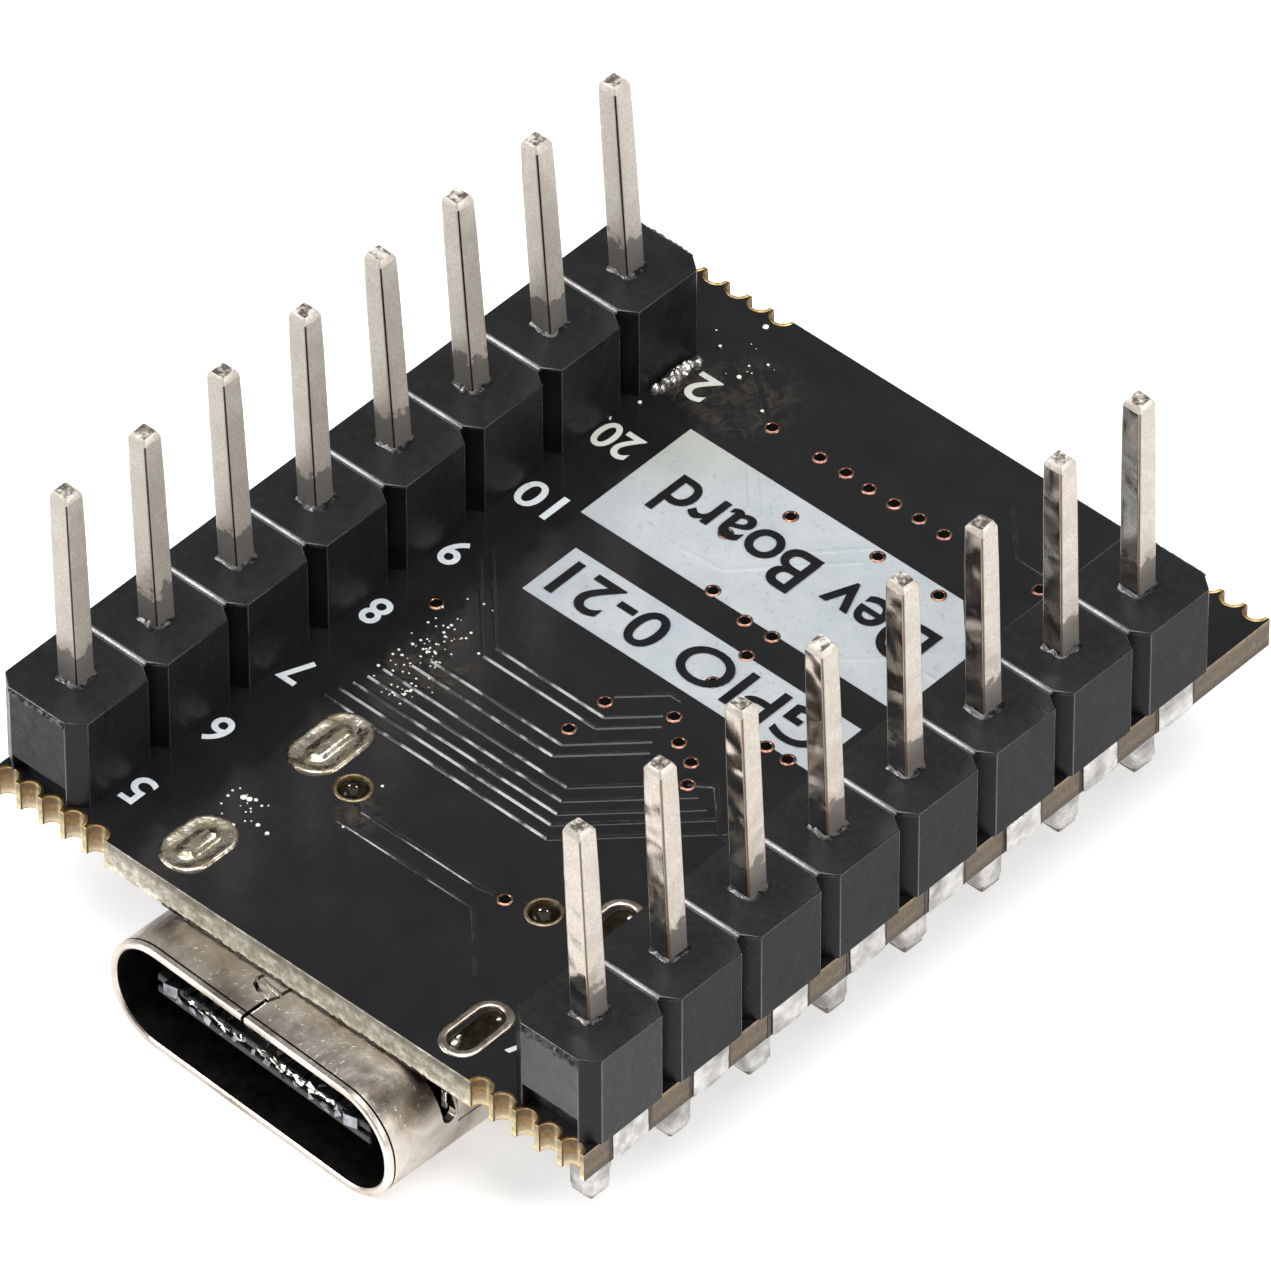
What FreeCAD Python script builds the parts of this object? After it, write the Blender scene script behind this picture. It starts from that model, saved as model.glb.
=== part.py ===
import FreeCAD, Part

import math
import os
import Sketcher

# Microcontroller dev board with two soldered pin headers, in millimetres.
# +Z runs along the free ends of the pins and the USB-C receptacle opens towards -Y.
# The origin is the middle of the pin grid, on the outer face of the header strips.

DRIVING_DIMENSIONS = {
    # board
    "board_width": 17.6,
    "board_thickness": 0.8,
    "board_front": 10.36,
    "board_back": 12.04,
    # pin headers
    "pin_pitch": 2.54,
    "pins_per_row": 8,
    "row_spacing": 15.24,
    "strip_width": 2.5,
    "strip_height": 2.54,
    "strip_notch_depth": 0.41,
    "strip_notch_length": 0.31,
    "score_width": 0.12,
    "score_depth": 0.06,
    "pin_width": 0.6,
    "pin_chamfer": 0.16,
    "pin_free_length": 5.7,
    # the left row's tails are trimmed shorter
    "pin_tail_left": 4.75,
    "pin_tail_right": 5.55,
    "pin_hole": 1.0,
    # solder
    "solder_pad": 1.7,
    "solder_waist": 1.09,
    "solder_waist_height": 0.42,
    "solder_neck": 0.84,
    "solder_height": 1.25,
    "edge_hole": 1.1,
    "tab_solder_inset": 0.06,
    # half holes left where the board was snapped from its panel
    "snap_hole": 0.54,
    "snap_pitch": 0.67,
    "snap_inset": 0.38,
    "snap_holes": 5,
    # USB-C receptacle; it is soldered on slightly turned, about the middle of its four slots
    "usb_offset": 0.3,
    "usb_turn": 2.5,
    "usb_pivot": 4.75,
    "usb_front": 11.7,
    "usb_length": 7.35,
    "usb_width": 8.74,
    "usb_height": 3.0,
    "usb_corner": 1.42,
    "usb_wall": 0.2,
    "usb_board_gap": 0.04,
    "usb_block_length": 1.6,
    "usb_window_length": 1.9,
    "usb_window_width": 7.0,
    "tab_length": 1.1,
    "tab_front": 2.65,
    "tab_spacing": 4.2,
    "slot_width": 0.62,
    "slot_length": 1.8,
    "slot_corner": 0.309,
    "peg_diameter": 0.42,
    "peg_hole": 0.72,
    "peg_reach": 0.48,
    "peg_spacing": 5.7,
    "peg_place": 6.2,
    "tongue_width": 6.69,
    "tongue_length": 5.3,
    "tongue_thickness": 0.7,
    "contact_pitch": 0.5,
    "contact_count": 12,
    "contact_width": 0.26,
    "contact_thickness": 0.06,
    "contact_length": 5.0,
    "mid_plate_thickness": 0.15,
    "mid_plate_setback": 0.25,
    "usb_lead_length": 0.7,
    "usb_lead_thickness": 0.12,
    # chips
    "chip_size": 5.0,
    "chip_thickness": 0.8,
    "chip_corner": 0.3,
    "chip_place": 2.6,
    "index_dot": 0.5,
    "index_dot_place": 1.8,
    "index_dot_depth": 0.05,
    "pad_thickness": 0.05,
    "pad_length": 0.5,
    "pad_width": 0.25,
    "pad_inset": 0.15,
    "middle_pad": 3.0,
    "pad_pitch": 0.5,
    "pads_per_side": 8,
    "crystal_length": 3.2,
    "crystal_width": 2.5,
    "crystal_base_thickness": 0.25,
    "crystal_lid_thickness": 0.4,
    "crystal_lid_step": 0.4,
    "crystal_lid_corner": 0.3,
    "crystal_place": 4.5,
    "crystal_row": 3.3,
    "antenna_length": 7.0,
    "antenna_width": 2.0,
    "antenna_thickness": 0.8,
    "antenna_end": 0.4,
    "antenna_place": 10.2,
    "regulator_length": 2.9,
    "regulator_width": 1.6,
    "regulator_thickness": 1.0,
    "regulator_standoff": 0.1,
    "regulator_place": 4.6,
    "regulator_row": 3.3,
    "lead_pitch": 0.95,
    "lead_width": 0.4,
    "lead_thickness": 0.15,
    "lead_reach": 0.6,
    "passive_length": 1.0,
    "passive_width": 0.5,
    "passive_end": 0.2,
    "capacitor_thickness": 0.5,
    "capacitor_pitch": 1.1,
    "capacitor_row": 6.1,
    "antenna_capacitor_row": 7.9,
    "resistor_thickness": 0.35,
    "resistor_pitch": 1.0,
    "led_length": 1.6,
    "led_width": 0.8,
    "led_thickness": 0.55,
    "led_end": 0.3,
    "led_place": 5.3,
    "led_row": 6.7,
    # push buttons
    "button_place": 4.1,
    "button_row": 1.9,
    "button_length": 4.0,
    "button_width": 3.0,
    "button_base_height": 1.0,
    "button_floor": 0.3,
    "button_well_length": 2.6,
    "button_well_width": 2.0,
    "button_well_corner": 0.5,
    "button_cover_length": 3.76,
    "button_cover_thickness": 0.2,
    "button_cover_hole": 1.72,
    "button_clip_length": 1.4,
    "button_clip_height": 0.6,
    "button_clip_thickness": 0.12,
    "plunger_diameter": 1.6,
    "plunger_flange": 1.88,
    "plunger_flange_height": 0.35,
    "plunger_height": 1.3,
    "plunger_rounding": 0.12,
    "dome_diameter": 1.9,
    "dome_height": 0.3,
    "dome_thickness": 0.06,
    "dome_shoulder": 1.045,
    "dome_shoulder_height": 0.225,
    "terminal_length": 0.45,
    "terminal_width": 0.7,
    "terminal_thickness": 0.15,
    "terminal_place": 0.85,
}

document = FreeCAD.newDocument("dev_board")
sheet = document.addObject("Spreadsheet::Sheet", "Dimensions")
subparts = []


def fill_sheet():
    """One row for each driving dimension: its name in column A and its value, under an alias, in B."""
    for row, (alias, size) in enumerate(DRIVING_DIMENSIONS.items(), start=1):
        sheet.set(f"A{row}", alias)
        sheet.set(f"B{row}", str(size))
        sheet.setAlias(f"B{row}", alias)
    document.recompute()


def formula(text):
    """A formula that names sheet cells in braces, in the form that the document's expressions take."""
    return text.replace("{", "Dimensions.").replace("}", "")


def number(text):
    """The present value of a formula."""
    return float(sheet.evalExpression(formula(text)))


def bind(thing, **sizes):
    """Bind properties of a document object to formulas of the sheet's cells."""
    for name, text in sizes.items():
        thing.setExpression(name, formula(text))


def place(thing, x="0", y="0", z="0"):
    """Bind an object's position to formulas."""
    for axis, text in (("x", x), ("y", y), ("z", z)):
        thing.setExpression(f"Placement.Base.{axis}", formula(text))


def subpart(thing, label):
    """Name a finished object as one of the pieces that are written out."""
    thing.Label = label
    subparts.append(thing)
    return thing


# Sketch helpers


def lock(sketch, element, point, x, y):
    """Hold a point of a sketch element at a place given by two formulas."""
    for kind, text in (("DistanceX", x), ("DistanceY", y)):
        index = sketch.addConstraint(Sketcher.Constraint(kind, -1, 1, element, point, number(text)))
        sketch.setExpression(f"Constraints[{index}]", formula(text))


def outline(sketch, points):
    """A closed outline of straight lines through points, each a pair of formulas."""
    places = [FreeCAD.Vector(number(x), number(y), 0) for x, y in points]
    ends = places[1:] + places[:1]
    lines = [sketch.addGeometry(Part.LineSegment(a, b), False) for a, b in zip(places, ends)]
    for line, following in zip(lines, lines[1:] + lines[:1]):
        sketch.addConstraint(Sketcher.Constraint("Coincident", line, 2, following, 1))
    for line, (x, y) in zip(lines, points):
        lock(sketch, line, 1, x, y)


def rectangle(sketch, left, low, right, high):
    """A rectangle between two corners."""
    outline(sketch, [(left, low), (right, low), (right, high), (left, high)])


def centred_rectangle(sketch, x, y, width, length):
    """A rectangle about a middle point."""
    left, right = (f"{x} {sign} {width} / 2" for sign in "-+")
    low, high = (f"{y} {sign} {length} / 2" for sign in "-+")
    rectangle(sketch, left, low, right, high)


def circle(sketch, x, y, diameter):
    """A circle of a given diameter about a point."""
    middle = FreeCAD.Vector(number(x), number(y), 0)
    up = FreeCAD.Vector(0, 0, 1)
    ring = sketch.addGeometry(Part.Circle(middle, up, number(diameter) / 2), False)
    lock(sketch, ring, 3, x, y)
    index = sketch.addConstraint(Sketcher.Constraint("Diameter", ring, number(diameter)))
    sketch.setExpression(f"Constraints[{index}]", formula(diameter))


def rounded_outline(sketch, x, y, width, height, radius):
    """A rectangle about a middle point, with four equal round corners."""
    across = number(width) / 2
    along = number(height) / 2
    bend = number(radius)
    centre = FreeCAD.Vector(number(x), number(y), 0)
    up = FreeCAD.Vector(0, 0, 1)
    quarter = math.pi / 2
    signs = [(1, 1), (-1, 1), (-1, -1), (1, -1)]
    arcs = []
    for turn, (side, end) in enumerate(signs):
        corner = centre + FreeCAD.Vector(side * (across - bend), end * (along - bend), 0)
        arc = Part.ArcOfCircle(Part.Circle(corner, up, bend), turn * quarter, (turn + 1) * quarter)
        arcs.append(sketch.addGeometry(arc, False))
    for turn, arc in enumerate(arcs):
        following = arcs[(turn + 1) % 4]
        start = sketch.getPoint(arc, 2)
        finish = sketch.getPoint(following, 1)
        line = sketch.addGeometry(Part.LineSegment(start, finish), False)
        sketch.addConstraint(Sketcher.Constraint("Tangent", arc, 2, line, 1))
        sketch.addConstraint(Sketcher.Constraint("Tangent", line, 2, following, 1))
    for arc, (side, end) in zip(arcs, signs):
        corner_x = f"{x} + {side} * ({width} / 2 - {radius})"
        corner_y = f"{y} + {end} * ({height} / 2 - {radius})"
        lock(sketch, arc, 3, corner_x, corner_y)
    index = sketch.addConstraint(Sketcher.Constraint("Radius", arcs[0], bend))
    sketch.setExpression(f"Constraints[{index}]", formula(radius))


# Body helpers


def new_body(name, x="0", y="0", z="0"):
    """A body that may hold several separate solids, at a place given by formulas."""
    body = document.addObject("PartDesign::Body", name)
    body.AllowCompound = True
    place(body, x, y, z)
    return body


def new_sketch(body, name, plane="XY_Plane", height="0"):
    """An empty sketch on one of the body's own origin planes, lifted along the plane's normal."""
    sketch = body.newObject("Sketcher::SketchObject", name)
    support = next(item for item in body.Origin.OriginFeatures if item.Role == plane)
    sketch.AttachmentSupport = [(support, "")]
    sketch.MapMode = "FlatFace"
    sketch.setExpression("AttachmentOffset.Base.z", formula(height))
    return sketch


def pad(body, sketch, length, other_way=None, flip=False, symmetric=False):
    """Solid from a sketch: one way, two ways or evenly both ways."""
    feature = body.newObject("PartDesign::Pad", f"{sketch.Name}_pad")
    feature.Profile = sketch
    feature.Reversed = flip
    bind(feature, Length=length)
    if symmetric:
        feature.SideType = "Symmetric"
    if other_way:
        feature.SideType = "Two sides"
        bind(feature, Length2=other_way)
    finish(body, feature)
    return feature


def pocket(body, sketch, depth=None, flip=True):
    """Cut from a sketch: through everything, or to a depth; it has to take some of the solid away."""
    before = body.Shape.Volume
    feature = body.newObject("PartDesign::Pocket", f"{sketch.Name}_cut")
    feature.Profile = sketch
    feature.Reversed = flip
    if depth:
        bind(feature, Length=depth)
    else:
        feature.Type = "ThroughAll"
    finish(body, feature)
    if not body.Shape.Volume < before:
        raise RuntimeError(f"{feature.Name} cuts nothing")
    return feature


def finish(body, feature):
    """Make a feature the body's result."""
    body.Tip = feature
    document.recompute()


def row_of(body, features, spacing, count, axis="V_Axis", flip=False, whole=False):
    """Repeat features, or the whole shape, in a straight row."""
    feature = body.newObject("PartDesign::LinearPattern", f"{body.Name}_row")
    if whole:
        feature.TransformMode = "Whole shape"
    else:
        feature.Originals = features
    source = features[0].Profile[0]
    feature.Direction = (source, [axis])
    feature.Reversed = flip
    feature.Mode = "Spacing"
    bind(feature, Offset=spacing, Occurrences=count)
    finish(body, feature)
    return feature


def group(things, label):
    """Several separate solids as one sub-part."""
    bundle = document.addObject("Part::Compound", label)
    bundle.Links = things
    return subpart(bundle, label)


def block(name, size, centre, low):
    """A Part box from its three sizes, the formulas of its middle in X and Y, and its underside."""
    box = document.addObject("Part::Box", name)
    bind(box, Length=size[0], Width=size[1], Height=size[2])
    place(box, f"{centre[0]} - ({size[0]}) / 2", f"{centre[1]} - ({size[1]}) / 2", low)
    return box


BOARD_TOP = "-{strip_height}"
BOARD_BOTTOM = "-({strip_height} + {board_thickness})"
FIRST_PIN = "-{pin_pitch} * ({pins_per_row} - 1) / 2"
SIDES = {"left": "-", "right": "+"}


def hanging(thickness):
    """Height of the underside of something that hangs from the component side of the board."""
    return f"{BOARD_BOTTOM} - ({thickness})"


# Board


def circuit_board():
    """Glass-epoxy panel; its local Z = 0 is the component side."""
    body = new_body("circuit_board", z=BOARD_BOTTOM)
    panel = new_sketch(body, "panel")
    rectangle(panel, "-{board_width} / 2", "-{board_front}", "{board_width} / 2", "{board_back}")
    pad(body, panel, "{board_thickness}")

    holes = new_sketch(body, "pin_holes")
    for sign in SIDES.values():
        circle(holes, f"{sign}{{row_spacing}} / 2", FIRST_PIN, "{pin_hole}")
        circle(holes, f"{sign}{{board_width}} / 2", FIRST_PIN, "{edge_hole}")
    row_of(body, [pocket(body, holes)], "{pin_pitch}", "{pins_per_row}")

    for side, sign in SIDES.items():
        snaps = new_sketch(body, f"snap_holes_{side}")
        for edge in ("-{board_front}", "{board_back}"):
            circle(snaps, f"{sign}({{board_width}} / 2 - {{snap_inset}})", edge, "{snap_hole}")
        cut = pocket(body, snaps)
        row_of(body, [cut], "{snap_pitch}", "{snap_holes}", axis="H_Axis", flip=side == "right")

    usb_holes = new_sketch(body, "usb_holes")
    for sign in SIDES.values():
        wall = f"{{usb_offset}} {sign} ({{usb_width}} - {{usb_wall}}) / 2"
        for step in (0, 1):
            along = f"-{{usb_front}} + {{tab_front}} + {step} * {{tab_spacing}}"
            rounded_outline(usb_holes, wall, along, "{slot_width}", "{slot_length}", "{slot_corner}")
        peg = f"{{usb_offset}} {sign} {{peg_spacing}} / 2"
        circle(usb_holes, peg, "-{usb_front} + {peg_place}", "{peg_hole}")
    pocket(body, usb_holes)
    subpart(body, "circuit_board")


# Pin headers


def header_strip(side, sign):
    """Black plastic strip: eight notched segments in one piece, each with a square hole for its pin."""
    body = new_body(f"header_strip_{side}", x=f"{sign}{{row_spacing}} / 2", z=BOARD_TOP)
    half = "{strip_width} / 2"
    inner = f"({half} - {{strip_notch_depth}})"
    ahead = f"({FIRST_PIN} - {{pin_pitch}} / 2)"
    behind = f"({FIRST_PIN} + {{pin_pitch}} / 2)"
    segment = new_sketch(body, f"segment_{side}")
    outline(segment, [
        (f"-{inner}", ahead),
        (inner, ahead),
        (half, f"{ahead} + {{strip_notch_length}}"),
        (half, f"{behind} - {{strip_notch_length}}"),
        (inner, behind),
        (f"-{inner}", behind),
        (f"-{half}", f"{behind} - {{strip_notch_length}}"),
        (f"-{half}", f"{ahead} + {{strip_notch_length}}"),
    ])
    row_of(body, [pad(body, segment, "{strip_height}")], "{pin_pitch}", "{pins_per_row}")

    hole = new_sketch(body, f"pin_seat_{side}")
    centred_rectangle(hole, "0", FIRST_PIN, "{pin_width}", "{pin_width}")
    row_of(body, [pocket(body, hole)], "{pin_pitch}", "{pins_per_row}")

    score = new_sketch(body, f"score_{side}", height="{strip_height}")
    centred_rectangle(score, "0", behind, "{strip_width}", "{score_width}")
    row_of(body, [pocket(body, score, "{score_depth}", flip=False)], "{pin_pitch}", "{pins_per_row} - 1")
    subpart(body, f"header_strip_{side}")


def header_pins(side, sign):
    """Eight square pins with both ends chamfered."""
    body = new_body(f"header_pins_{side}", x=f"{sign}{{row_spacing}} / 2", y=FIRST_PIN)
    section = new_sketch(body, f"pin_section_{side}")
    centred_rectangle(section, "0", "0", "{pin_width}", "{pin_width}")
    shaft = pad(body, section, "{pin_free_length}", other_way=f"{{pin_tail_{side}}}")
    ends = []
    for index, face in enumerate(shaft.Shape.Faces, start=1):
        if abs(face.normalAt(0, 0).z) > 0.9:
            ends.append(f"Face{index}")
    tips = body.newObject("PartDesign::Chamfer", f"pin_tips_{side}")
    tips.Base = (shaft, ends)
    bind(tips, Size="{pin_chamfer}")
    finish(body, tips)
    row_of(body, [shaft], "{pin_pitch}", "{pins_per_row}", whole=True)
    subpart(body, f"header_pins_{side}")


def pin_solder(side, sign):
    """Eight cones of solder between the board's pads and the pin tails."""
    body = new_body(f"pin_solder_{side}", f"{sign}{{row_spacing}} / 2", FIRST_PIN, BOARD_BOTTOM)
    profile = new_sketch(body, f"cone_{side}", plane="XZ_Plane")
    outline(profile, [
        ("0", "0"),
        ("{solder_pad} / 2", "0"),
        ("{solder_waist} / 2", "-{solder_waist_height}"),
        ("{solder_neck} / 2", "-{solder_height}"),
        ("0", "-{solder_height}"),
    ])
    cone = body.newObject("PartDesign::Revolution", f"solder_cone_{side}")
    cone.Profile = profile
    cone.ReferenceAxis = (profile, ["V_Axis"])
    cone.Angle = 360
    finish(body, cone)
    tail = new_sketch(body, f"tail_{side}")
    centred_rectangle(tail, "0", "0", "{pin_width}", "{pin_width}")
    cut = pocket(body, tail, flip=False)
    row_of(body, [cut], "{pin_pitch}", "{pins_per_row}", whole=True)
    subpart(body, f"pin_solder_{side}")


def edge_solder(side, sign):
    """Eight half discs of solder, each filling one plated half hole up to the board's edge."""
    pieces = []
    for pin in range(int(number("{pins_per_row}"))):
        along = f"{FIRST_PIN} + {pin} * {{pin_pitch}}"
        disc = document.addObject("Part::Cylinder", f"edge_disc_{side}_{pin}")
        bind(disc, Radius="{edge_hole} / 2", Height="{board_thickness}")
        place(disc, f"{sign}{{board_width}} / 2", along, BOARD_BOTTOM)
        size = ("{edge_hole}", "{edge_hole} * 2", "{board_thickness} * 2")
        middle = (f"{sign}({{board_width}} - {{edge_hole}}) / 2", along)
        low = hanging("{board_thickness} / 2")
        inside = block(f"edge_inside_{side}_{pin}", size, middle, low)
        half = document.addObject("Part::Common", f"edge_half_{side}_{pin}")
        half.Base = disc
        half.Tool = inside
        pieces.append(half)
    group(pieces, f"edge_solder_{side}")


# USB-C receptacle

USB_MIDDLE = "-({strip_height} + {board_thickness} + {usb_board_gap} + {usb_height} / 2)"
USB_INNER_WIDTH = "({usb_width} - 2 * {usb_wall})"
USB_INNER_HEIGHT = "({usb_height} - 2 * {usb_wall})"
USB_BLOCK_START = "({usb_length} - {usb_block_length})"


def usb_body(name, height=USB_MIDDLE):
    """A turned body at the middle of the receptacle's mouth; its +Y runs into the receptacle."""
    turn = "{usb_turn} * 1 deg"
    x = f"{{usb_offset}} - {{usb_pivot}} * sin({turn})"
    y = f"-{{usb_front}} + {{usb_pivot}} * (1 - cos({turn}))"
    body = new_body(name, x, y, height)
    body.setExpression("Placement.Rotation.Angle", formula(f"-{turn}"))
    return body


def usb_shell():
    """Steel tube with a window over the block and four tabs that pass through the board."""
    body = usb_body("usb_shell")
    mouth = new_sketch(body, "usb_mouth", plane="XZ_Plane")
    rounded_outline(mouth, "0", "0", "{usb_width}", "{usb_height}", "{usb_corner}")
    rounded_outline(mouth, "0", "0", USB_INNER_WIDTH, USB_INNER_HEIGHT, "({usb_corner} - {usb_wall})")
    pad(body, mouth, "{usb_length}", flip=True)

    window = new_sketch(body, "usb_window", height="{usb_height} / 4")
    window_start = "{usb_length} - {usb_window_length}"
    rectangle(window, "-{usb_window_width} / 2", window_start, "{usb_window_width} / 2", "{usb_length}")
    pocket(body, window)

    tabs = new_sketch(body, "usb_tabs")
    for sign in SIDES.values():
        for step in (0, 1):
            along = f"({{tab_front}} + {step} * {{tab_spacing}})"
            wall = f"({sign}({{usb_width}} - {{usb_wall}}) / 2)"
            centred_rectangle(tabs, wall, along, "{usb_wall}", "{tab_length}")
    pad(body, tabs, "{usb_height} / 2 + {usb_board_gap} + {board_thickness} - {tab_solder_inset}")
    return subpart(body, "usb_shell")


def usb_tab_solder(shell):
    """Solder that fills the board's four slots round the shell's tabs."""
    body = new_body("slot_solder", x="{usb_offset}", y="-{usb_front}", z=BOARD_BOTTOM)
    slots = new_sketch(body, "tab_solder_slots")
    for sign in SIDES.values():
        wall = f"({sign}({{usb_width}} - {{usb_wall}}) / 2)"
        for step in (0, 1):
            along = f"({{tab_front}} + {step} * {{tab_spacing}})"
            rounded_outline(slots, wall, along, "{slot_width}", "{slot_length}", "{slot_corner}")
    pad(body, slots, "{board_thickness} - {tab_solder_inset}")
    fill = document.addObject("Part::Cut", "usb_tab_solder")
    fill.Base = body
    fill.Tool = shell
    subpart(fill, "usb_tab_solder")


def usb_housing():
    """Moulded block that closes the shell's rear, with two pegs that locate it on the board."""
    body = usb_body("usb_housing")
    section = new_sketch(body, "usb_block", plane="XZ_Plane", height=f"-{USB_BLOCK_START}")
    rounded_outline(section, "0", "0", USB_INNER_WIDTH, USB_INNER_HEIGHT, "({usb_corner} - {usb_wall})")
    pad(body, section, "{usb_block_length}", flip=True)
    pegs = new_sketch(body, "usb_pegs")
    for sign in SIDES.values():
        circle(pegs, f"({sign}{{peg_spacing}} / 2)", "{peg_place}", "{peg_diameter}")
    pad(body, pegs, "{usb_height} / 2 + {usb_board_gap} + {peg_reach}")
    subpart(body, "usb_housing")


def usb_tongue():
    """The tongue's two moulded halves, one each side of the steel plate."""
    body = usb_body("usb_tongue")
    halves = new_sketch(body, "tongue_halves", plane="YZ_Plane")
    front = f"{USB_BLOCK_START} - {{tongue_length}}"
    inner = "{mid_plate_thickness} / 2"
    outer = "({tongue_thickness} / 2 - {contact_thickness})"
    rectangle(halves, front, inner, USB_BLOCK_START, outer)
    rectangle(halves, front, f"-{outer}", USB_BLOCK_START, f"-{inner}")
    pad(body, halves, "{tongue_width}", symmetric=True)
    subpart(body, "usb_tongue")


def usb_mid_plate():
    """Steel plate inside the tongue, which also stiffens its two edges."""
    body = usb_body("usb_mid_plate")
    plate = new_sketch(body, "mid_plate", height="-{mid_plate_thickness} / 2")
    front = f"({USB_BLOCK_START} - {{tongue_length}} + {{mid_plate_setback}})"
    rectangle(plate, "-{tongue_width} / 2", front, "{tongue_width} / 2", USB_BLOCK_START)
    pad(body, plate, "{mid_plate_thickness}")
    subpart(body, "usb_mid_plate")


def usb_contacts(face, height):
    """Twelve flat contacts on one face of the tongue."""
    body = usb_body(f"usb_contacts_{face}")
    strip = new_sketch(body, f"contact_{face}", height=height)
    first = "(-{contact_pitch} * ({contact_count} - 1) / 2)"
    middle = f"({USB_BLOCK_START} - {{contact_length}} / 2)"
    centred_rectangle(strip, first, middle, "{contact_width}", "{contact_length}")
    contact = pad(body, strip, "{contact_thickness}")
    row_of(body, [contact], "{contact_pitch}", "{contact_count}", axis="H_Axis")
    subpart(body, f"usb_contacts_{face}")


def usb_leads():
    """Soldered ends of the contacts, in a row on the board behind the shell."""
    body = usb_body("usb_leads", hanging("{usb_lead_thickness}"))
    lead = new_sketch(body, "usb_lead")
    first = "(-{contact_pitch} * ({contact_count} - 1) / 2)"
    middle = "({usb_length} + {usb_lead_length} / 2)"
    centred_rectangle(lead, first, middle, "{contact_width}", "{usb_lead_length}")
    lead_pad = pad(body, lead, "{usb_lead_thickness}")
    row_of(body, [lead_pad], "{contact_pitch}", "{contact_count}", axis="H_Axis")
    subpart(body, "usb_leads")


# Chips on the component side


def mcu_chip():
    """Flat square chip package with a bevelled corner, standing on its thin pads."""
    body = new_body("mcu_chip", y="{chip_place}", z=hanging("{pad_thickness} + {chip_thickness}"))
    package = new_sketch(body, "package")
    half = "{chip_size} / 2"
    corner = "({chip_size} / 2 - {chip_corner})"
    outline(package, [
        (f"-{half}", f"-{half}"),
        (half, f"-{half}"),
        (half, half),
        (f"-{corner}", half),
        (f"-{half}", corner),
    ])
    pad(body, package, "{chip_thickness}")
    dot = new_sketch(body, "index_dot")
    circle(dot, "-{index_dot_place}", "{index_dot_place}", "{index_dot}")
    pocket(body, dot, "{index_dot_depth}")
    subpart(body, "mcu_chip")


def mcu_pads():
    """Thin pads under the chip's four sides and a large one under its middle."""
    pieces = []
    reach = "({chip_size} / 2 - {pad_inset})"
    long, short = "{pad_length}", "{pad_width}"
    for pin in range(int(number("{pads_per_side}"))):
        shift = f"({{pad_pitch}} * ({pin} - ({{pads_per_side}} - 1) / 2))"
        places = {
            "left": (f"-{reach}", f"{{chip_place}} + {shift}", long, short),
            "right": (reach, f"{{chip_place}} + {shift}", long, short),
            "front": (shift, f"{{chip_place}} - {reach}", short, long),
            "back": (shift, f"{{chip_place}} + {reach}", short, long),
        }
        for edge, (x, y, width, length) in places.items():
            size = (width, length, "{pad_thickness}")
            pieces.append(block(f"mcu_pad_{edge}_{pin}", size, (x, y), hanging("{pad_thickness}")))
    size = ("{middle_pad}", "{middle_pad}", "{pad_thickness}")
    pieces.append(block("mcu_pad_middle", size, ("0", "{chip_place}"), hanging("{pad_thickness}")))
    group(pieces, "mcu_pads")


def crystal():
    """Ceramic base with a smaller metal lid."""
    middle = ("{crystal_place}", "{crystal_row}")
    size = ("{crystal_length}", "{crystal_width}", "{crystal_base_thickness}")
    base = block("crystal_base", size, middle, hanging("{crystal_base_thickness}"))
    subpart(base, "crystal_base")
    step = "{crystal_lid_step}"
    size = (f"{{crystal_length}} - {step}", f"{{crystal_width}} - {step}", "{crystal_lid_thickness}")
    low = hanging("{crystal_base_thickness} + {crystal_lid_thickness}")
    lid = block("crystal_lid_block", size, middle, low)
    document.recompute()
    rounded = document.addObject("Part::Fillet", "crystal_can")
    rounded.Base = lid
    corner = number("{crystal_lid_corner}")
    upright = []
    for index, edge in enumerate(lid.Shape.Edges, start=1):
        if edge.BoundBox.ZLength > corner:
            upright.append((index, corner, corner))
    rounded.Edges = upright
    subpart(rounded, "crystal_can")


def capped_chip(name, centre, turned, sizes):
    """A small two-terminal chip: its middle block and its two end caps, along X or turned along Y."""
    length, width, thickness, end = sizes
    low = hanging(thickness)
    reach = f"({length} - {end}) / 2"
    x, y = centre
    if turned:
        middle_size = (width, f"({length} - 2 * {end})", thickness)
        end_size = (width, end, thickness)
        end_places = [(x, f"{y} - {reach}"), (x, f"{y} + {reach}")]
    else:
        middle_size = (f"({length} - 2 * {end})", width, thickness)
        end_size = (end, width, thickness)
        end_places = [(f"{x} - {reach}", y), (f"{x} + {reach}", y)]
    middle = block(f"{name}_middle", middle_size, centre, low)
    ends = [block(f"{name}_end_{side}", end_size, where, low) for side, where in enumerate(end_places)]
    return middle, ends


def ceramic_antenna():
    """Long ceramic block with a metal cap at each end, across the board's far end."""
    sizes = ("{antenna_length}", "{antenna_width}", "{antenna_thickness}", "{antenna_end}")
    middle, ends = capped_chip("antenna", ("0", "{antenna_place}"), False, sizes)
    subpart(middle, "ceramic_antenna")
    group(ends, "antenna_ends")


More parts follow.
